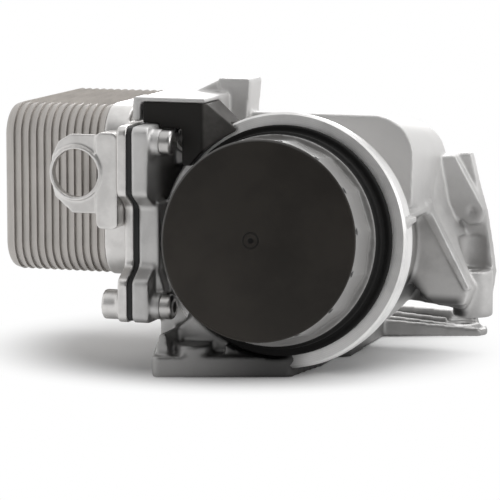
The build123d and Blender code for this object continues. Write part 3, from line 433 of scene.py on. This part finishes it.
@dataclass(frozen=True)
class CastFinish:
    """Die-cast aluminium: soft grain and flow marks, painted light on top, painted shade at foot and under the
    chute.

    Most masks follow the height, and a tilt adds a share of another direction to it.
    """

    light: float = 0.60
    dark: float = 0.44
    # painted light: the paler grey that the top of the casting is lightened to
    painted_top_light: float = 0.72
    # painted shade: its levels at the foot, from left to right
    shade_left: float = 0.34
    shade_right: float = 0.08
    warm: float = 0.012
    left_to_right: Ramp = Ramp(-25.0 * MM, 50.0 * MM)
    top: Ramp = Ramp(62.0 * MM, 36.0 * MM)
    painted_top_light_tilt: float = 0.12
    painted_top_light_share: float = 0.8
    matt_tilt: float = 0.5
    matt_share: float = 0.6
    # where the painted shade lies: the foot, the lowest edge and the hollow under the chute
    foot: Ramp = Ramp(-2.0 * MM, 15.0 * MM)
    foot_tilt_across: float = -0.16
    foot_tilt_along: float = 0.30
    skirt: Ramp = Ramp(6.0 * MM, 8.0 * MM)
    skirt_share: float = 0.5
    chute: Ramp = Ramp(125.0 * MM, 8.0 * MM)
    chute_tilt: float = 1.5
    hollow_top: Ramp = Ramp(23.0 * MM, 4.0 * MM)
    hollow_bottom: Ramp = Ramp(13.0 * MM, 4.0 * MM)
    hollow_front: Ramp = Ramp(4.0 * MM, 4.0 * MM)
    hollow_sides: Band = Band(54.0 * MM, 86.0 * MM, 5.0 * MM)
    hollow_share: float = 0.92
    clouds: Pattern = Pattern(45.0, 5.0, 0.6)
    cloud_ramp: Ramp = Ramp(0.36, 0.3)
    cloud_share: float = 0.7
    flow: Pattern = Pattern(1.0, 5.0, 0.65, (60.0, 20.0, 160.0))
    flow_share: float = 0.3
    flow_relief: Relief = Relief(0.12 * MM, 0.5)
    grain: Pattern = Pattern(1400.0, 3.0, 0.6)
    grain_relief: Relief = Relief(0.05 * MM, 0.6)
    roughness: float = 0.40
    grain_roughness: float = 0.14
    cloud_roughness: float = 0.08

    def _foot_shade(self, across: Field, along: Field, rise: Field) -> Field:
        """The mask of painted shade on the front foot and the lowest edge, from the places along X, Y and Z."""
        tilted = rise + along * self.foot_tilt_along + across * self.foot_tilt_across
        return tilted.below(self.foot).either(rise.below(self.skirt) * self.skirt_share)

    def _hollow_shade(self, across: Field, along: Field, rise: Field) -> Field:
        """The mask of painted shade in the hollow under the chute.

        Args:
            across: the place along X.
            along: the place along Y.
            rise: the place along Z.

        Returns:
            The mask.
        """
        under_chute = (rise + across * self.chute_tilt).below(self.chute)
        under = under_chute.either(rise.below(self.hollow_top))
        within = under * across.inside(self.hollow_sides) * along.above(self.hollow_front)
        return within * rise.above(self.hollow_bottom)

    def material(self) -> bpy.types.Material:
        """Build the material.

        Returns:
            The material.
        """
        shader = Shader(Slot.CAST.value, IOR=1.5)
        place = shader.place()
        across, along, rise = shader.parts(place)
        clouds = shader.noise(place, self.clouds)
        grain = shader.noise(place, self.grain)
        flow = shader.noise(place, self.flow)
        tone = clouds.above(self.cloud_ramp) * self.cloud_share + flow * self.flow_share
        plain = shader.greys(tone, self.dark, self.light, self.warm)
        # painted light: the upper casting is lightened towards a paler grey
        painted_top_light = (rise + across * self.painted_top_light_tilt).above(self.top) * self.painted_top_light_share
        top_lit_colour = shader.mix(painted_top_light, plain, grey(self.painted_top_light, self.warm))
        # painted shade: the foot, the lowest edge and the hollow under the chute are darkened, darker to the right
        darkened = self._foot_shade(across, along, rise).either(self._hollow_shade(across, along, rise) * self.hollow_share)
        to_right = across.above(self.left_to_right)
        shade_tone = shader.greys(to_right, self.shade_left, self.shade_right, self.warm)
        colour = shader.mix(darkened, top_lit_colour, shade_tone)
        metallic = 1 - (rise + across * self.matt_tilt).above(self.top) * self.matt_share
        roughness = self.roughness + grain * self.grain_roughness + clouds * self.cloud_roughness
        normal = shader.bump(grain, self.grain_relief, shader.bump(flow, self.flow_relief))
        return shader.feed(Base_Color=colour, Metallic=metallic, Roughness=roughness, Normal=normal)


@dataclass(frozen=True)
class MachinedFinish:
    """Turned aluminium with fine rings about the filter axis, with painted shade beside the foot."""

    axis: FilterAxis
    light: float = 0.90
    dark: float = 0.76
    # painted shade: the level of the collar beside the foot
    foot: float = 0.12
    warm: float = 0.01
    ring_pitch: float = 0.7 * MM
    ring_share: float = 0.35
    ring_relief: Relief = Relief(0.02 * MM, 0.5)
    stains: Pattern = Pattern(90.0, 4.0, 0.6)
    stain_share: float = 0.65
    foot_side: Ramp = Ramp(2.0 * MM, 13.0 * MM)
    foot_top: Ramp = Ramp(11.0 * MM, 6.0 * MM)
    roughness: float = 0.34
    stain_roughness: float = 0.16

    def material(self) -> bpy.types.Material:
        """Build the material.

        Returns:
            The material.
        """
        shader = Shader(OwnFinish.COLLAR.value, Metallic=0.6)
        across, _, rise, depth = self.axis.seen_from(shader)
        rings = (depth + across.distance(rise)).waves(self.ring_pitch)
        stains = shader.noise(shader.place(), self.stains)
        tone = rings * self.ring_share + stains.above(STAIN_RAMP) * self.stain_share
        bright = shader.greys(tone, self.dark, self.light, self.warm)
        # painted shade: the collar beside the foot is darkened
        shade_at_foot = across.below(self.foot_side) * (rise + self.axis.origin.z).below(self.foot_top)
        colour = shader.mix(shade_at_foot, bright, grey(self.foot, self.warm))
        roughness = self.roughness + stains * self.stain_roughness
        normal = shader.bump(rings, self.ring_relief)
        return shader.feed(Base_Color=colour, Roughness=roughness, Normal=normal)


@dataclass(frozen=True)
class SheetFinish:
    """Brazed aluminium sheet: satin, streaked along the plates."""

    light: float = 0.54
    dark: float = 0.43
    warm: float = 0.05
    streaks: Pattern = Pattern(1.0, 4.0, 0.6, (900.0, 60.0, 60.0))
    streak_share: float = 0.5
    stains: Pattern = Pattern(60.0, 5.0, 0.6)
    stain_share: float = 0.5
    grain: Pattern = Pattern(2500.0, 2.0, 0.5)
    roughness: float = 0.34
    grain_roughness: float = 0.12
    stain_roughness: float = 0.1

    def material(self) -> bpy.types.Material:
        """Build the material.

        Returns:
            The material.
        """
        shader = Shader(Slot.PLATE.value, Metallic=0.7)
        place = shader.place()
        streaks = shader.noise(place, self.streaks)
        stains = shader.noise(place, self.stains)
        grain = shader.noise(place, self.grain)
        tone = streaks * self.streak_share + stains * self.stain_share
        colour = shader.greys(tone.above(PATCH_RAMP), self.dark, self.light, self.warm)
        roughness = self.roughness + grain * self.grain_roughness + stains * self.stain_roughness
        return shader.feed(Base_Color=colour, Roughness=roughness, Normal=shader.bump(grain, FINE_RELIEF))


@dataclass(frozen=True)
class BaseFinish:
    """Machined and brazed aluminium of the base plate and the lug."""

    light: float = 0.74
    dark: float = 0.60
    warm: float = 0.02
    stains: Pattern = Pattern(70.0, 5.0, 0.6)
    grain: Pattern = Pattern(1800.0, 3.0, 0.5)
    roughness: float = 0.32
    grain_roughness: float = 0.14

    def material(self) -> bpy.types.Material:
        """Build the material.

        Returns:
            The material.
        """
        shader = Shader(Slot.BASE.value, Metallic=1.0)
        place = shader.place()
        stains = shader.noise(place, self.stains)
        grain = shader.noise(place, self.grain)
        colour = shader.greys(stains.above(STAIN_RAMP), self.dark, self.light, self.warm)
        roughness = self.roughness + grain * self.grain_roughness
        return shader.feed(Base_Color=colour, Roughness=roughness, Normal=shader.bump(grain, FINE_RELIEF))


@dataclass(frozen=True)
class PlasticFinish:
    """Moulded plastic with a fine grain and slow changes of gloss."""

    slot: Slot
    level: float = 0.022
    dark_share: float = 0.8
    light_share: float = 1.3
    warm: float = 0.08
    roughness: float = 0.42
    grain_roughness: float = 0.12
    cloud_roughness: float = 0.08

    def material(self) -> bpy.types.Material:
        """Build the material.

        Returns:
            The material.
        """
        shader = Shader(self.slot.value, Metallic=0.0, IOR=1.5, Specular_IOR_Level=0.25)
        place = shader.place()
        grain = shader.noise(place, MOULD_GRAIN)
        clouds = shader.noise(place, MOULD_CLOUDS)
        dark, light = self.level * self.dark_share, self.level * self.light_share
        colour = shader.greys(clouds.above(STAIN_RAMP), dark, light, self.warm)
        roughness = self.roughness + grain * self.grain_roughness + clouds * self.cloud_roughness
        return shader.feed(Base_Color=colour, Roughness=roughness, Normal=shader.bump(grain, FINE_RELIEF))


@dataclass(frozen=True)
class BracketFinish:
    """Black plastic of the bracket, with a patchy painted highlight on the slope beside the cap."""

    level: float = 0.012
    warm: float = 0.12
    # painted light on the slope beside the cap
    slope_light_level: float = 0.110
    slope_light_warm: float = 0.048
    slope: Ramp = Ramp(-8.5 * MM, 1.5 * MM)
    light_patches: Pattern = Pattern(120.0, 5.0, 0.6)
    light_patch_share: float = 0.4
    roughness: float = 0.42
    grain_roughness: float = 0.12

    def material(self) -> bpy.types.Material:
        """Build the material.

        Returns:
            The material.
        """
        shader = Shader(OwnFinish.BRACKET.value, Metallic=0.0, IOR=1.5, Specular_IOR_Level=0.25)
        place = shader.place()
        across, _, _ = shader.parts(place)
        grain = shader.noise(place, MOULD_GRAIN)
        light_patches = shader.noise(place, self.light_patches).above(PATCH_RAMP)
        # painted light: the slope right of the step is paler, in patches
        pale = across.above(self.slope) * (light_patches * self.light_patch_share + (1 - self.light_patch_share))
        colour = shader.mix(pale, grey(self.level, self.warm), grey(self.slope_light_level, self.slope_light_warm))
        roughness = self.roughness + grain * self.grain_roughness
        return shader.feed(Base_Color=colour, Roughness=roughness, Normal=shader.bump(grain, FINE_RELIEF))


@dataclass(frozen=True)
class CapFinish:
    """Black plastic of the screw cap: matt face, gate mark, satin wrench flats with painted sheen, painted shade
    on the neck.
    """

    axis: FilterAxis
    face_dark: float = 0.02025
    face_light: float = 0.0405
    warm: float = 0.15
    cloud_share: float = 0.5
    # painted shade across the face, lighter to the lower left
    shaded: Ramp = Ramp(-10.0 * MM, 60.0 * MM)
    shaded_share: float = 0.5
    # painted highlight along the upper-left edge of the face
    edge_highlight_level: float = 0.16
    edge_highlight_warm: float = 0.03
    edge_starts: Ramp = Ramp(38.2 * MM, 0.5 * MM)
    edge_ends: Ramp = Ramp(0.5 * MM, 0.3 * MM)
    edge_towards: Ramp = Ramp(0.0, 45.0 * MM)
    # painted sheen: the paler grey of the wrench flats
    flat_sheen_level: float = 0.25
    flat_sheen_warm: float = 0.0225
    flats_start: Ramp = Ramp(0.6 * MM, 0.8 * MM)
    flats_end: Ramp = Ramp(20.5 * MM, 0.8 * MM)
    # the near-black of the neck's painted shade, also of the notches and the gate mark
    neck_shade_and_mark_level: float = 0.0015
    flats: int = 15
    first_corner: float = math.radians(7.5)
    corner: Ramp = Ramp(0.80, 0.15)
    notch: Band = Band(1.3 * MM, 3.0 * MM, 0.5 * MM)
    gate_aside: float = -1.9 * MM
    gate_ring: Band = Band(2.5 * MM, 3.5 * MM, 0.35 * MM)
    gate_ring_share: float = 0.6
    gate_dimple: Ramp = Ramp(0.72 * MM, 0.72 * MM)
    mark_relief: Relief = Relief(0.5 * MM, 1.0)
    roughness: float = 0.50
    flat_gloss: float = 0.20
    neck_roughness: float = 0.40
    grain_roughness: float = 0.10
    coat_share: float = 0.9

    def _face(self, shader: Shader, across: Field, height: Field) -> Field:
        """The colour of the face, with painted shade at the upper right and painted light at the lower left.

        Args:
            shader: the shader that it belongs to.
            across: the distance to the right of the axis.
            height: the distance above the axis.

        Returns:
            The colour.
        """
        clouds = shader.noise(shader.place(), MOULD_CLOUDS).above(STAIN_RAMP)
        lower_left = (0 - across - height).above(self.shaded)
        shade = clouds * self.cloud_share + lower_left * self.shaded_share
        return shader.greys(shade, self.face_dark, self.face_light, self.warm)

    def _edge_highlight(self, across: Field, height: Field, depth: Field) -> Field:
        """The mask of a painted highlight along the face's edge at the upper left."""
        rim = across.distance(height).above(self.edge_starts) * depth.below(self.edge_ends)
        return rim * (height - across).above(self.edge_towards)

    def _notches(self, across: Field, height: Field, depth: Field) -> Field:
        """The mask of the notches at the corners of the wrench flats."""
        around = (height.angle(across) - self.first_corner) * self.flats
        return (around + math.pi / 2).sine().above(self.corner) * depth.inside(self.notch)

    def material(self) -> bpy.types.Material:
        """Build the material.

        Returns:
            The material.
        """
        shader = Shader(OwnFinish.CAP.value, Metallic=0.0, IOR=1.5, Specular_IOR_Level=0.22,
                        Coat_Roughness=0.45)
        across, behind, rise, depth = self.axis.seen_from(shader)
        height = rise * -self.axis.outward.y + behind * self.axis.outward.z
        on_side = depth.above(self.flats_start)
        on_neck = depth.above(self.flats_end)
        # the near-black of the neck's painted shade, also used for the notches and the gate mark
        darkened = grey(self.neck_shade_and_mark_level, self.warm)
        edge_highlight = self._edge_highlight(across, height, depth)
        notch = self._notches(across, height, depth)
        from_gate = (across - self.gate_aside).distance(height)
        ring = from_gate.inside(self.gate_ring)
        dimple = from_gate.below(self.gate_dimple)
        gate = (ring * self.gate_ring_share + dimple) * (1 - on_side)
        # painted highlight along the upper-left edge of the face
        with_edge_highlight = shader.mix(edge_highlight, self._face(shader, across, height), grey(self.edge_highlight_level, self.edge_highlight_warm))
        # painted sheen: the wrench flats are paler grey
        with_flat_sheen = shader.mix(on_side, with_edge_highlight, grey(self.flat_sheen_level, self.flat_sheen_warm))
        notched = shader.mix(notch, with_flat_sheen, darkened)
        # painted shade on the neck
        neck_shaded = shader.mix(on_neck, notched, darkened)
        colour = shader.mix(gate, neck_shaded, darkened)
        grain = shader.noise(shader.place(), MOULD_GRAIN)
        gloss = self.roughness - on_side * self.flat_gloss + on_neck * self.neck_roughness
        roughness = gloss + grain * self.grain_roughness
        coat = on_side * (1 - on_neck) * self.coat_share
        marks = shader.bump(ring - dimple - notch, self.mark_relief)
        normal = shader.bump(grain, FINE_RELIEF, marks)
        return shader.feed(Base_Color=colour, Roughness=roughness, Coat_Weight=coat, Normal=normal)


@dataclass(frozen=True)
class RubberFinish:
    """Black rubber of the seals."""

    light: float = 0.020
    dark: float = 0.010
    grain: Pattern = Pattern(1200.0, 4.0, 0.6)
    roughness: float = 0.55
    grain_roughness: float = 0.2

    def material(self) -> bpy.types.Material:
        """Build the material.

        Returns:
            The material.
        """
        shader = Shader(Slot.RUBBER.value, Metallic=0.0)
        grain = shader.noise(shader.place(), self.grain)
        colour = shader.greys(grain, self.dark, self.light, 0.0)
        return shader.feed(Base_Color=colour, Roughness=self.roughness + grain * self.grain_roughness)


@dataclass(frozen=True)
class PaperFinish:
    """Resin paper of the filter."""

    light: Colour = (0.70, 0.52, 0.27, 1.0)
    dark: Colour = (0.50, 0.33, 0.13, 1.0)
    fibres: Pattern = Pattern(1.0, 5.0, 0.7, (2200.0, 700.0, 2200.0))
    fibre_relief: Relief = Relief(0.08 * MM, 0.6)
    roughness: float = 0.75
    fibre_roughness: float = 0.1

    def material(self) -> bpy.types.Material:
        """Build the material.

        Returns:
            The material.
        """
        shader = Shader(Slot.PAPER.value, Metallic=0.0)
        fibres = shader.noise(shader.place(), self.fibres)
        colour = shader.mix(fibres, self.dark, self.light)
        roughness = self.roughness + fibres * self.fibre_roughness
        normal = shader.bump(fibres, self.fibre_relief)
        return shader.feed(Base_Color=colour, Roughness=roughness, Normal=normal)


@dataclass(frozen=True)
class SteelFinish:
    """Zinc-plated steel of the small parts."""

    light: float = 0.56
    dark: float = 0.40
    warm: float = 0.02
    clouds: Pattern = Pattern(150.0)
    grain: Pattern = Pattern(1500.0, 3.0, 0.6)
    grain_relief: Relief = Relief(0.02 * MM, 0.4)
    roughness: float = 0.26
    grain_roughness: float = 0.16

    def material(self) -> bpy.types.Material:
        """Build the material.

        Returns:
            The material.
        """
        shader = Shader(Slot.STEEL.value, Metallic=1.0)
        place = shader.place()
        grain = shader.noise(place, self.grain)
        colour = shader.greys(shader.noise(place, self.clouds), self.dark, self.light, self.warm)
        roughness = self.roughness + grain * self.grain_roughness
        normal = shader.bump(grain, self.grain_relief)
        return shader.feed(Base_Color=colour, Roughness=roughness, Normal=normal)


class Finishes:
    """Every finish of the object, made once."""

    def __init__(self, axis: FilterAxis) -> None:
        """Build the materials.

        Args:
            axis: the filter axis, which the finishes of the cap and the collar follow.
        """
        self.own = {
            OwnFinish.CAP: CapFinish(axis).material(),
            OwnFinish.COLLAR: MachinedFinish(axis).material(),
            OwnFinish.BRACKET: BracketFinish().material(),
        }
        self.by_slot = {
            Slot.CAST: CastFinish().material(),
            Slot.PLATE: SheetFinish().material(),
            Slot.BASE: BaseFinish().material(),
            Slot.BLACK: PlasticFinish(Slot.BLACK).material(),
            Slot.MOULDED: PlasticFinish(Slot.MOULDED, level=0.05, roughness=0.4).material(),
            Slot.RUBBER: RubberFinish().material(),
            Slot.PAPER: PaperFinish().material(),
            Slot.STEEL: SteelFinish().material(),
        }

    def pick(self, slot: Slot, own: OwnFinish | None) -> bpy.types.Material:
        """The finish that a piece has for itself, or else its slot's."""
        return self.by_slot[slot] if own is None else self.own[own]

    def dress_frame(self) -> list[str]:
        """Give each CAD node the finish of its slot.

        Returns:
            The names of the nodes.
        """
        names = []
        for entry in frame["record"]["subparts"]:
            node = frame["nodes"][entry["node"]]
            node.data.materials.clear()
            node.data.materials.append(self.by_slot[Slot(entry["material_slot"])])
            names.append(entry["node"])
        return names


def made_object(name: str, shape: bmesh.types.BMesh) -> bpy.types.Object:
    """Make an object of the scene from a shape.

    Args:
        name: its name, and its mesh's.
        shape: the shape, which is freed.

    Returns:
        The object.
    """
    mesh = bpy.data.meshes.new(name)
    shape.to_mesh(mesh)
    shape.free()
    made = bpy.data.objects.new(name, mesh)
    bpy.context.scene.collection.objects.link(made)
    return made


@dataclass(frozen=True)
class SoftCopy:
    """A CAD node rebuilt as one even mesh, so that its edges are softened as on a casting or moulding."""

    node: str
    body: Body
    slot: Slot
    voxel: float
    rounds: int = 4
    most_triangles: int = 180_000
    own: OwnFinish | None = None
    pull: float = 0.5
    weld: float = 0.001 * MM

    def build(self, finishes: Finishes) -> bpy.types.Object:
        """Build the copy and put it in the node's place.

        Args:
            finishes: the finishes of the object.

        Returns:
            The new piece.
        """
        made = made_object(f"soft_{self.node}", self._merged())
        even = made.modifiers.new("even", "REMESH")
        even.mode = "VOXEL"
        even.voxel_size = self.voxel
        soften = made.modifiers.new("soften", "SMOOTH")
        soften.factor = self.pull
        soften.iterations = self.rounds
        triangles = 2 * len(self._evaluated(made).polygons)
        if triangles > self.most_triangles:
            lighten = made.modifiers.new("lighten", "DECIMATE")
            lighten.ratio = self.most_triangles / triangles
        made.data = self._evaluated(made)
        made.modifiers.clear()
        made.data.shade_smooth()
        made.data.materials.clear()
        made.data.materials.append(finishes.pick(self.slot, self.own))
        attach(made, self.body.value)
        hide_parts(self.node)
        return made

    def _merged(self) -> bmesh.types.BMesh:
        """The node's mesh in the frame of the model, with its doubles merged.

        Returns:
            A new shape.
        """
        source = frame["nodes"][self.node]
        shape = bmesh.new()
        shape.from_mesh(source.data)
        bmesh.ops.transform(shape, matrix=source.matrix_world, verts=shape.verts)
        bmesh.ops.remove_doubles(shape, verts=shape.verts, dist=self.weld)
        return shape

    @staticmethod
    def _evaluated(made: bpy.types.Object) -> bpy.types.Mesh:
        """The mesh of an object after its modifiers.

        Args:
            made: the object.

        Returns:
            A new mesh.
        """
        graph = bpy.context.evaluated_depsgraph_get()
        graph.update()
        return bpy.data.meshes.new_from_object(made.evaluated_get(graph))


@dataclass(frozen=True)
class TurnedSkin:
    """A crisp turned skin over a softened piece, from an outline of radius and depth in millimetres."""

    name: str
    body: Body
    slot: Slot
    own: OwnFinish
    outline: tuple[Pair, ...]
    steps: int = 160
    sharp: float = math.radians(25.0)

    def build(self, finishes: Finishes, axis: FilterAxis) -> bpy.types.Object:
        """Build the skin.

        Args:
            finishes: the finishes of the object.
            axis: the axis that it goes round.

        Returns:
            The new piece.
        """
        shape = bmesh.new()
        corners = [shape.verts.new(axis.point(depth * MM, radius * MM)) for radius, depth in self.outline]
        edges = [shape.edges.new(ends) for ends in zip(corners, corners[1:] + corners[:1])]
        bmesh.ops.spin(shape, geom=corners + edges, cent=axis.origin, axis=axis.outward,
                       angle=2 * math.pi, steps=self.steps, use_merge=True)
        bmesh.ops.recalc_face_normals(shape, faces=shape.faces)
        made = made_object(self.name, shape)
        made.data.materials.append(finishes.pick(self.slot, self.own))
        made.data.shade_smooth()
        made.data.set_sharp_from_angle(angle=self.sharp)
        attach(made, self.body.value)
        return made


@dataclass(frozen=True)
class Lamp:
    """A square area lamp that points at the middle of the part."""

    name: str
    place: Triple
    side: float
    power: float

    def build(self) -> None:
        """Hang the lamp."""
        data = bpy.data.lights.new(self.name, "AREA")
        data.size = self.side
        data.energy = self.power
        made = bpy.data.objects.new(self.name, data)
        made.location = self.place
        middle = (CAD_BOX[0] + CAD_BOX[1]) / 2
        made.rotation_mode = "QUATERNION"
        made.rotation_quaternion = (middle - Vector(self.place)).to_track_quat("-Z", "Y")
        bpy.context.scene.collection.objects.link(made)


@dataclass(frozen=True)
class Studio:
    """Floor, dark card, lamps, background and camera."""

    axis: FilterAxis
    azimuth: float = 18.0
    elevation: float = 8.0
    distance: float = 1.2
    pixel_size: float = 0.385 * MM
    face_pixel: Pair = (257.0, 241.0)
    image_size: float = 500.0
    sensor: float = 36.0
    nearest: float = 0.05
    farthest: float = 20.0
    stage_roughness: float = 0.9
    floor_level: float = 0.92
    floor_radius: float = 6.0
    floor_corners: int = 64
    floor_gap: float = 0.2 * MM
    shadow_middle: Pair = (-0.012, 0.012)
    shadow_reach: Pair = (0.118, 0.114)
    shadow_fade: Ramp = Ramp(0.55, 0.45)
    card_distance: float = 1.6
    card_size: Pair = (3.6, 2.4)
    card_level: float = 0.22
    fill_strength: float = 0.5
    lamps: tuple[Lamp, ...] = (
        Lamp("back_lamp", (-0.25, 1.0, 0.42), side=0.55, power=4.0),
        Lamp("top_lamp", (0.2, 0.3, 0.9), side=0.5, power=2.5),
        Lamp("right_lamp", (0.95, -0.1, 0.45), side=0.5, power=2.4),
    )

    def view_axes(self) -> tuple[Vector, Vector, Vector]:
        """The directions of the photograph's view.

        Returns:
            The camera's right, up and backward directions.
        """
        turn = math.radians(self.azimuth)
        rise = math.radians(self.elevation)
        back = Vector((math.sin(turn) * math.cos(rise), -math.cos(turn) * math.cos(rise), math.sin(rise)))
        right = Vector((math.cos(turn), math.sin(turn), 0.0))
        return right, back.cross(right), back

    def camera(self) -> None:
        """Make the camera so that the middle of the cap's face lands on its pixel."""
        right, up, back = self.view_axes()
        middle = self.image_size / 2
        aside = (self.face_pixel[0] - middle) * self.pixel_size
        above = (middle - self.face_pixel[1]) * self.pixel_size
        data = bpy.data.cameras.new("camera")
        data.sensor_width = self.sensor
        data.lens = self.sensor * self.distance / self.pixel_size / self.image_size
        data.clip_start = self.nearest
        data.clip_end = self.farthest
        made = bpy.data.objects.new("camera", data)
        made.location = self.axis.origin - right * aside - up * above + back * self.distance
        made.rotation_mode = "QUATERNION"
        made.rotation_quaternion = (-back).to_track_quat("-Z", "Y")
        bpy.context.scene.collection.objects.link(made)
        bpy.context.scene.camera = made

    def stage_shader(self, name: str, level: float) -> Shader:
        """The plain grey shader of a stage piece."""
        return Shader(name, Base_Color=grey(level), Roughness=self.stage_roughness, Specular_IOR_Level=0.0)

    def floor(self) -> None:
        """Make the pale floor: it takes the shadow near the part and is white further out."""
        lowered = Matrix.Translation((0.0, 0.0, CAD_BOX[0].z - self.floor_gap))
        shape = bmesh.new()
        bmesh.ops.create_circle(shape, cap_ends=True, segments=self.floor_corners, radius=self.floor_radius,
                                matrix=lowered)
        made = made_object("floor", shape)
        shader = self.stage_shader("floor", self.floor_level)
        x, y, _ = shader.parts(shader.place())
        across = (x - self.shadow_middle[0]) / self.shadow_reach[0]
        along = (y - self.shadow_middle[1]) / self.shadow_reach[1]
        shader.white_for_eyes(across.distance(along).above(self.shadow_fade))
        made.data.materials.append(shader.material)

    def card(self) -> None:
        """Make the dark card behind the camera, which the faces towards the camera mirror."""
        right, _, _ = self.view_axes()
        upright = Vector((0.0, 0.0, 1.0))
        towards = right.cross(upright)
        width, height = self.card_size
        centre = self.axis.origin + towards * self.card_distance + upright * (height / 2)
        turn = Matrix((right, upright, towards)).transposed().to_4x4()
        size = Matrix.Diagonal((width / 2, height / 2, 1.0, 1.0))
        shape = bmesh.new()
        bmesh.ops.create_grid(shape, x_segments=1, y_segments=1, size=1.0,
                              matrix=Matrix.Translation(centre) @ turn @ size)
        made = made_object("dark_card", shape)
        made.visible_camera = False
        made.visible_shadow = False
        made.data.materials.append(self.stage_shader("dark_card", self.card_level).material)

    def world(self) -> None:
        """Make the background: white to the eye, and softer as light on the part."""
        world = bpy.data.worlds.new("studio")
        world.use_nodes = True
        tree = NodeTree(world.node_tree)
        fill = tree.field("ShaderNodeBackground", {}, {"Color": WHITE, "Strength": self.fill_strength})
        backdrop = tree.field("ShaderNodeBackground", {}, {"Color": WHITE, "Strength": 1.0})
        tree.node("ShaderNodeOutputWorld", {}, {"Surface": tree.blend(tree.seen(), fill, backdrop)})
        bpy.context.scene.world = world

    def build(self) -> None:
        """Make the studio and set the plain view transform."""
        bpy.context.scene.view_settings.view_transform = "Standard"
        self.camera()
        self.floor()
        self.card()
        self.world()
        for lamp in self.lamps:
            lamp.build()


SOFT_COPIES = (
    SoftCopy("filter_housing", Body.HOUSING, Slot.CAST, voxel=0.8 * MM),
    SoftCopy("filter_cap", Body.CAP, Slot.BLACK, voxel=0.55 * MM, rounds=3, most_triangles=150_000,
             own=OwnFinish.CAP),
    SoftCopy("cooler_base_plate", Body.HOUSING, Slot.BASE, voxel=0.6 * MM, rounds=3, most_triangles=90_000),
    SoftCopy("cooler_eye_lug", Body.HOUSING, Slot.BASE, voxel=0.4 * MM, most_triangles=40_000),
    SoftCopy("top_bracket", Body.HOUSING, Slot.BLACK, voxel=0.4 * MM, rounds=3, most_triangles=40_000,
             own=OwnFinish.BRACKET),
)

TURNED_SKINS = (
    TurnedSkin("machined_collar", Body.HOUSING, Slot.CAST, OwnFinish.COLLAR, (
        (44.9, 33.3), (44.9, 32.08), (49.7, 32.08), (50.62, 32.98), (50.62, 38.6), (49.82, 39.4),
        (49.82, 45.2), (48.9, 46.12), (47.7, 46.12), (48.6, 33.3),
    )),
    TurnedSkin("cap_face_edge", Body.CAP, Slot.BLACK, OwnFinish.CAP, (
        (37.2, 0.35), (38.4, 0.02), (38.9, 0.12), (39.25, 0.45),
        (39.35, 0.9), (39.2, 1.4), (38.6, 1.7), (37.4, 1.7),
    )),
)


def main() -> None:
    """Build the studio, the finishes and the pieces in order, and report each piece."""
    logging.basicConfig(level=logging.INFO, format="%(name)s: %(message)s")
    axis = FilterAxis.from_frame()
    Studio(axis).build()
    finishes = Finishes(axis)
    for node in finishes.dress_frame():
        LOG.info("dressed %s", node)
    for copy in SOFT_COPIES:
        made = copy.build(finishes)
        LOG.info("softened %s, %d faces", copy.node, len(made.data.polygons))
    for skin in TURNED_SKINS:
        made = skin.build(finishes, axis)
        LOG.info("turned %s, %d faces", made.name, len(made.data.polygons))


if __name__ == "__main__":
    main()
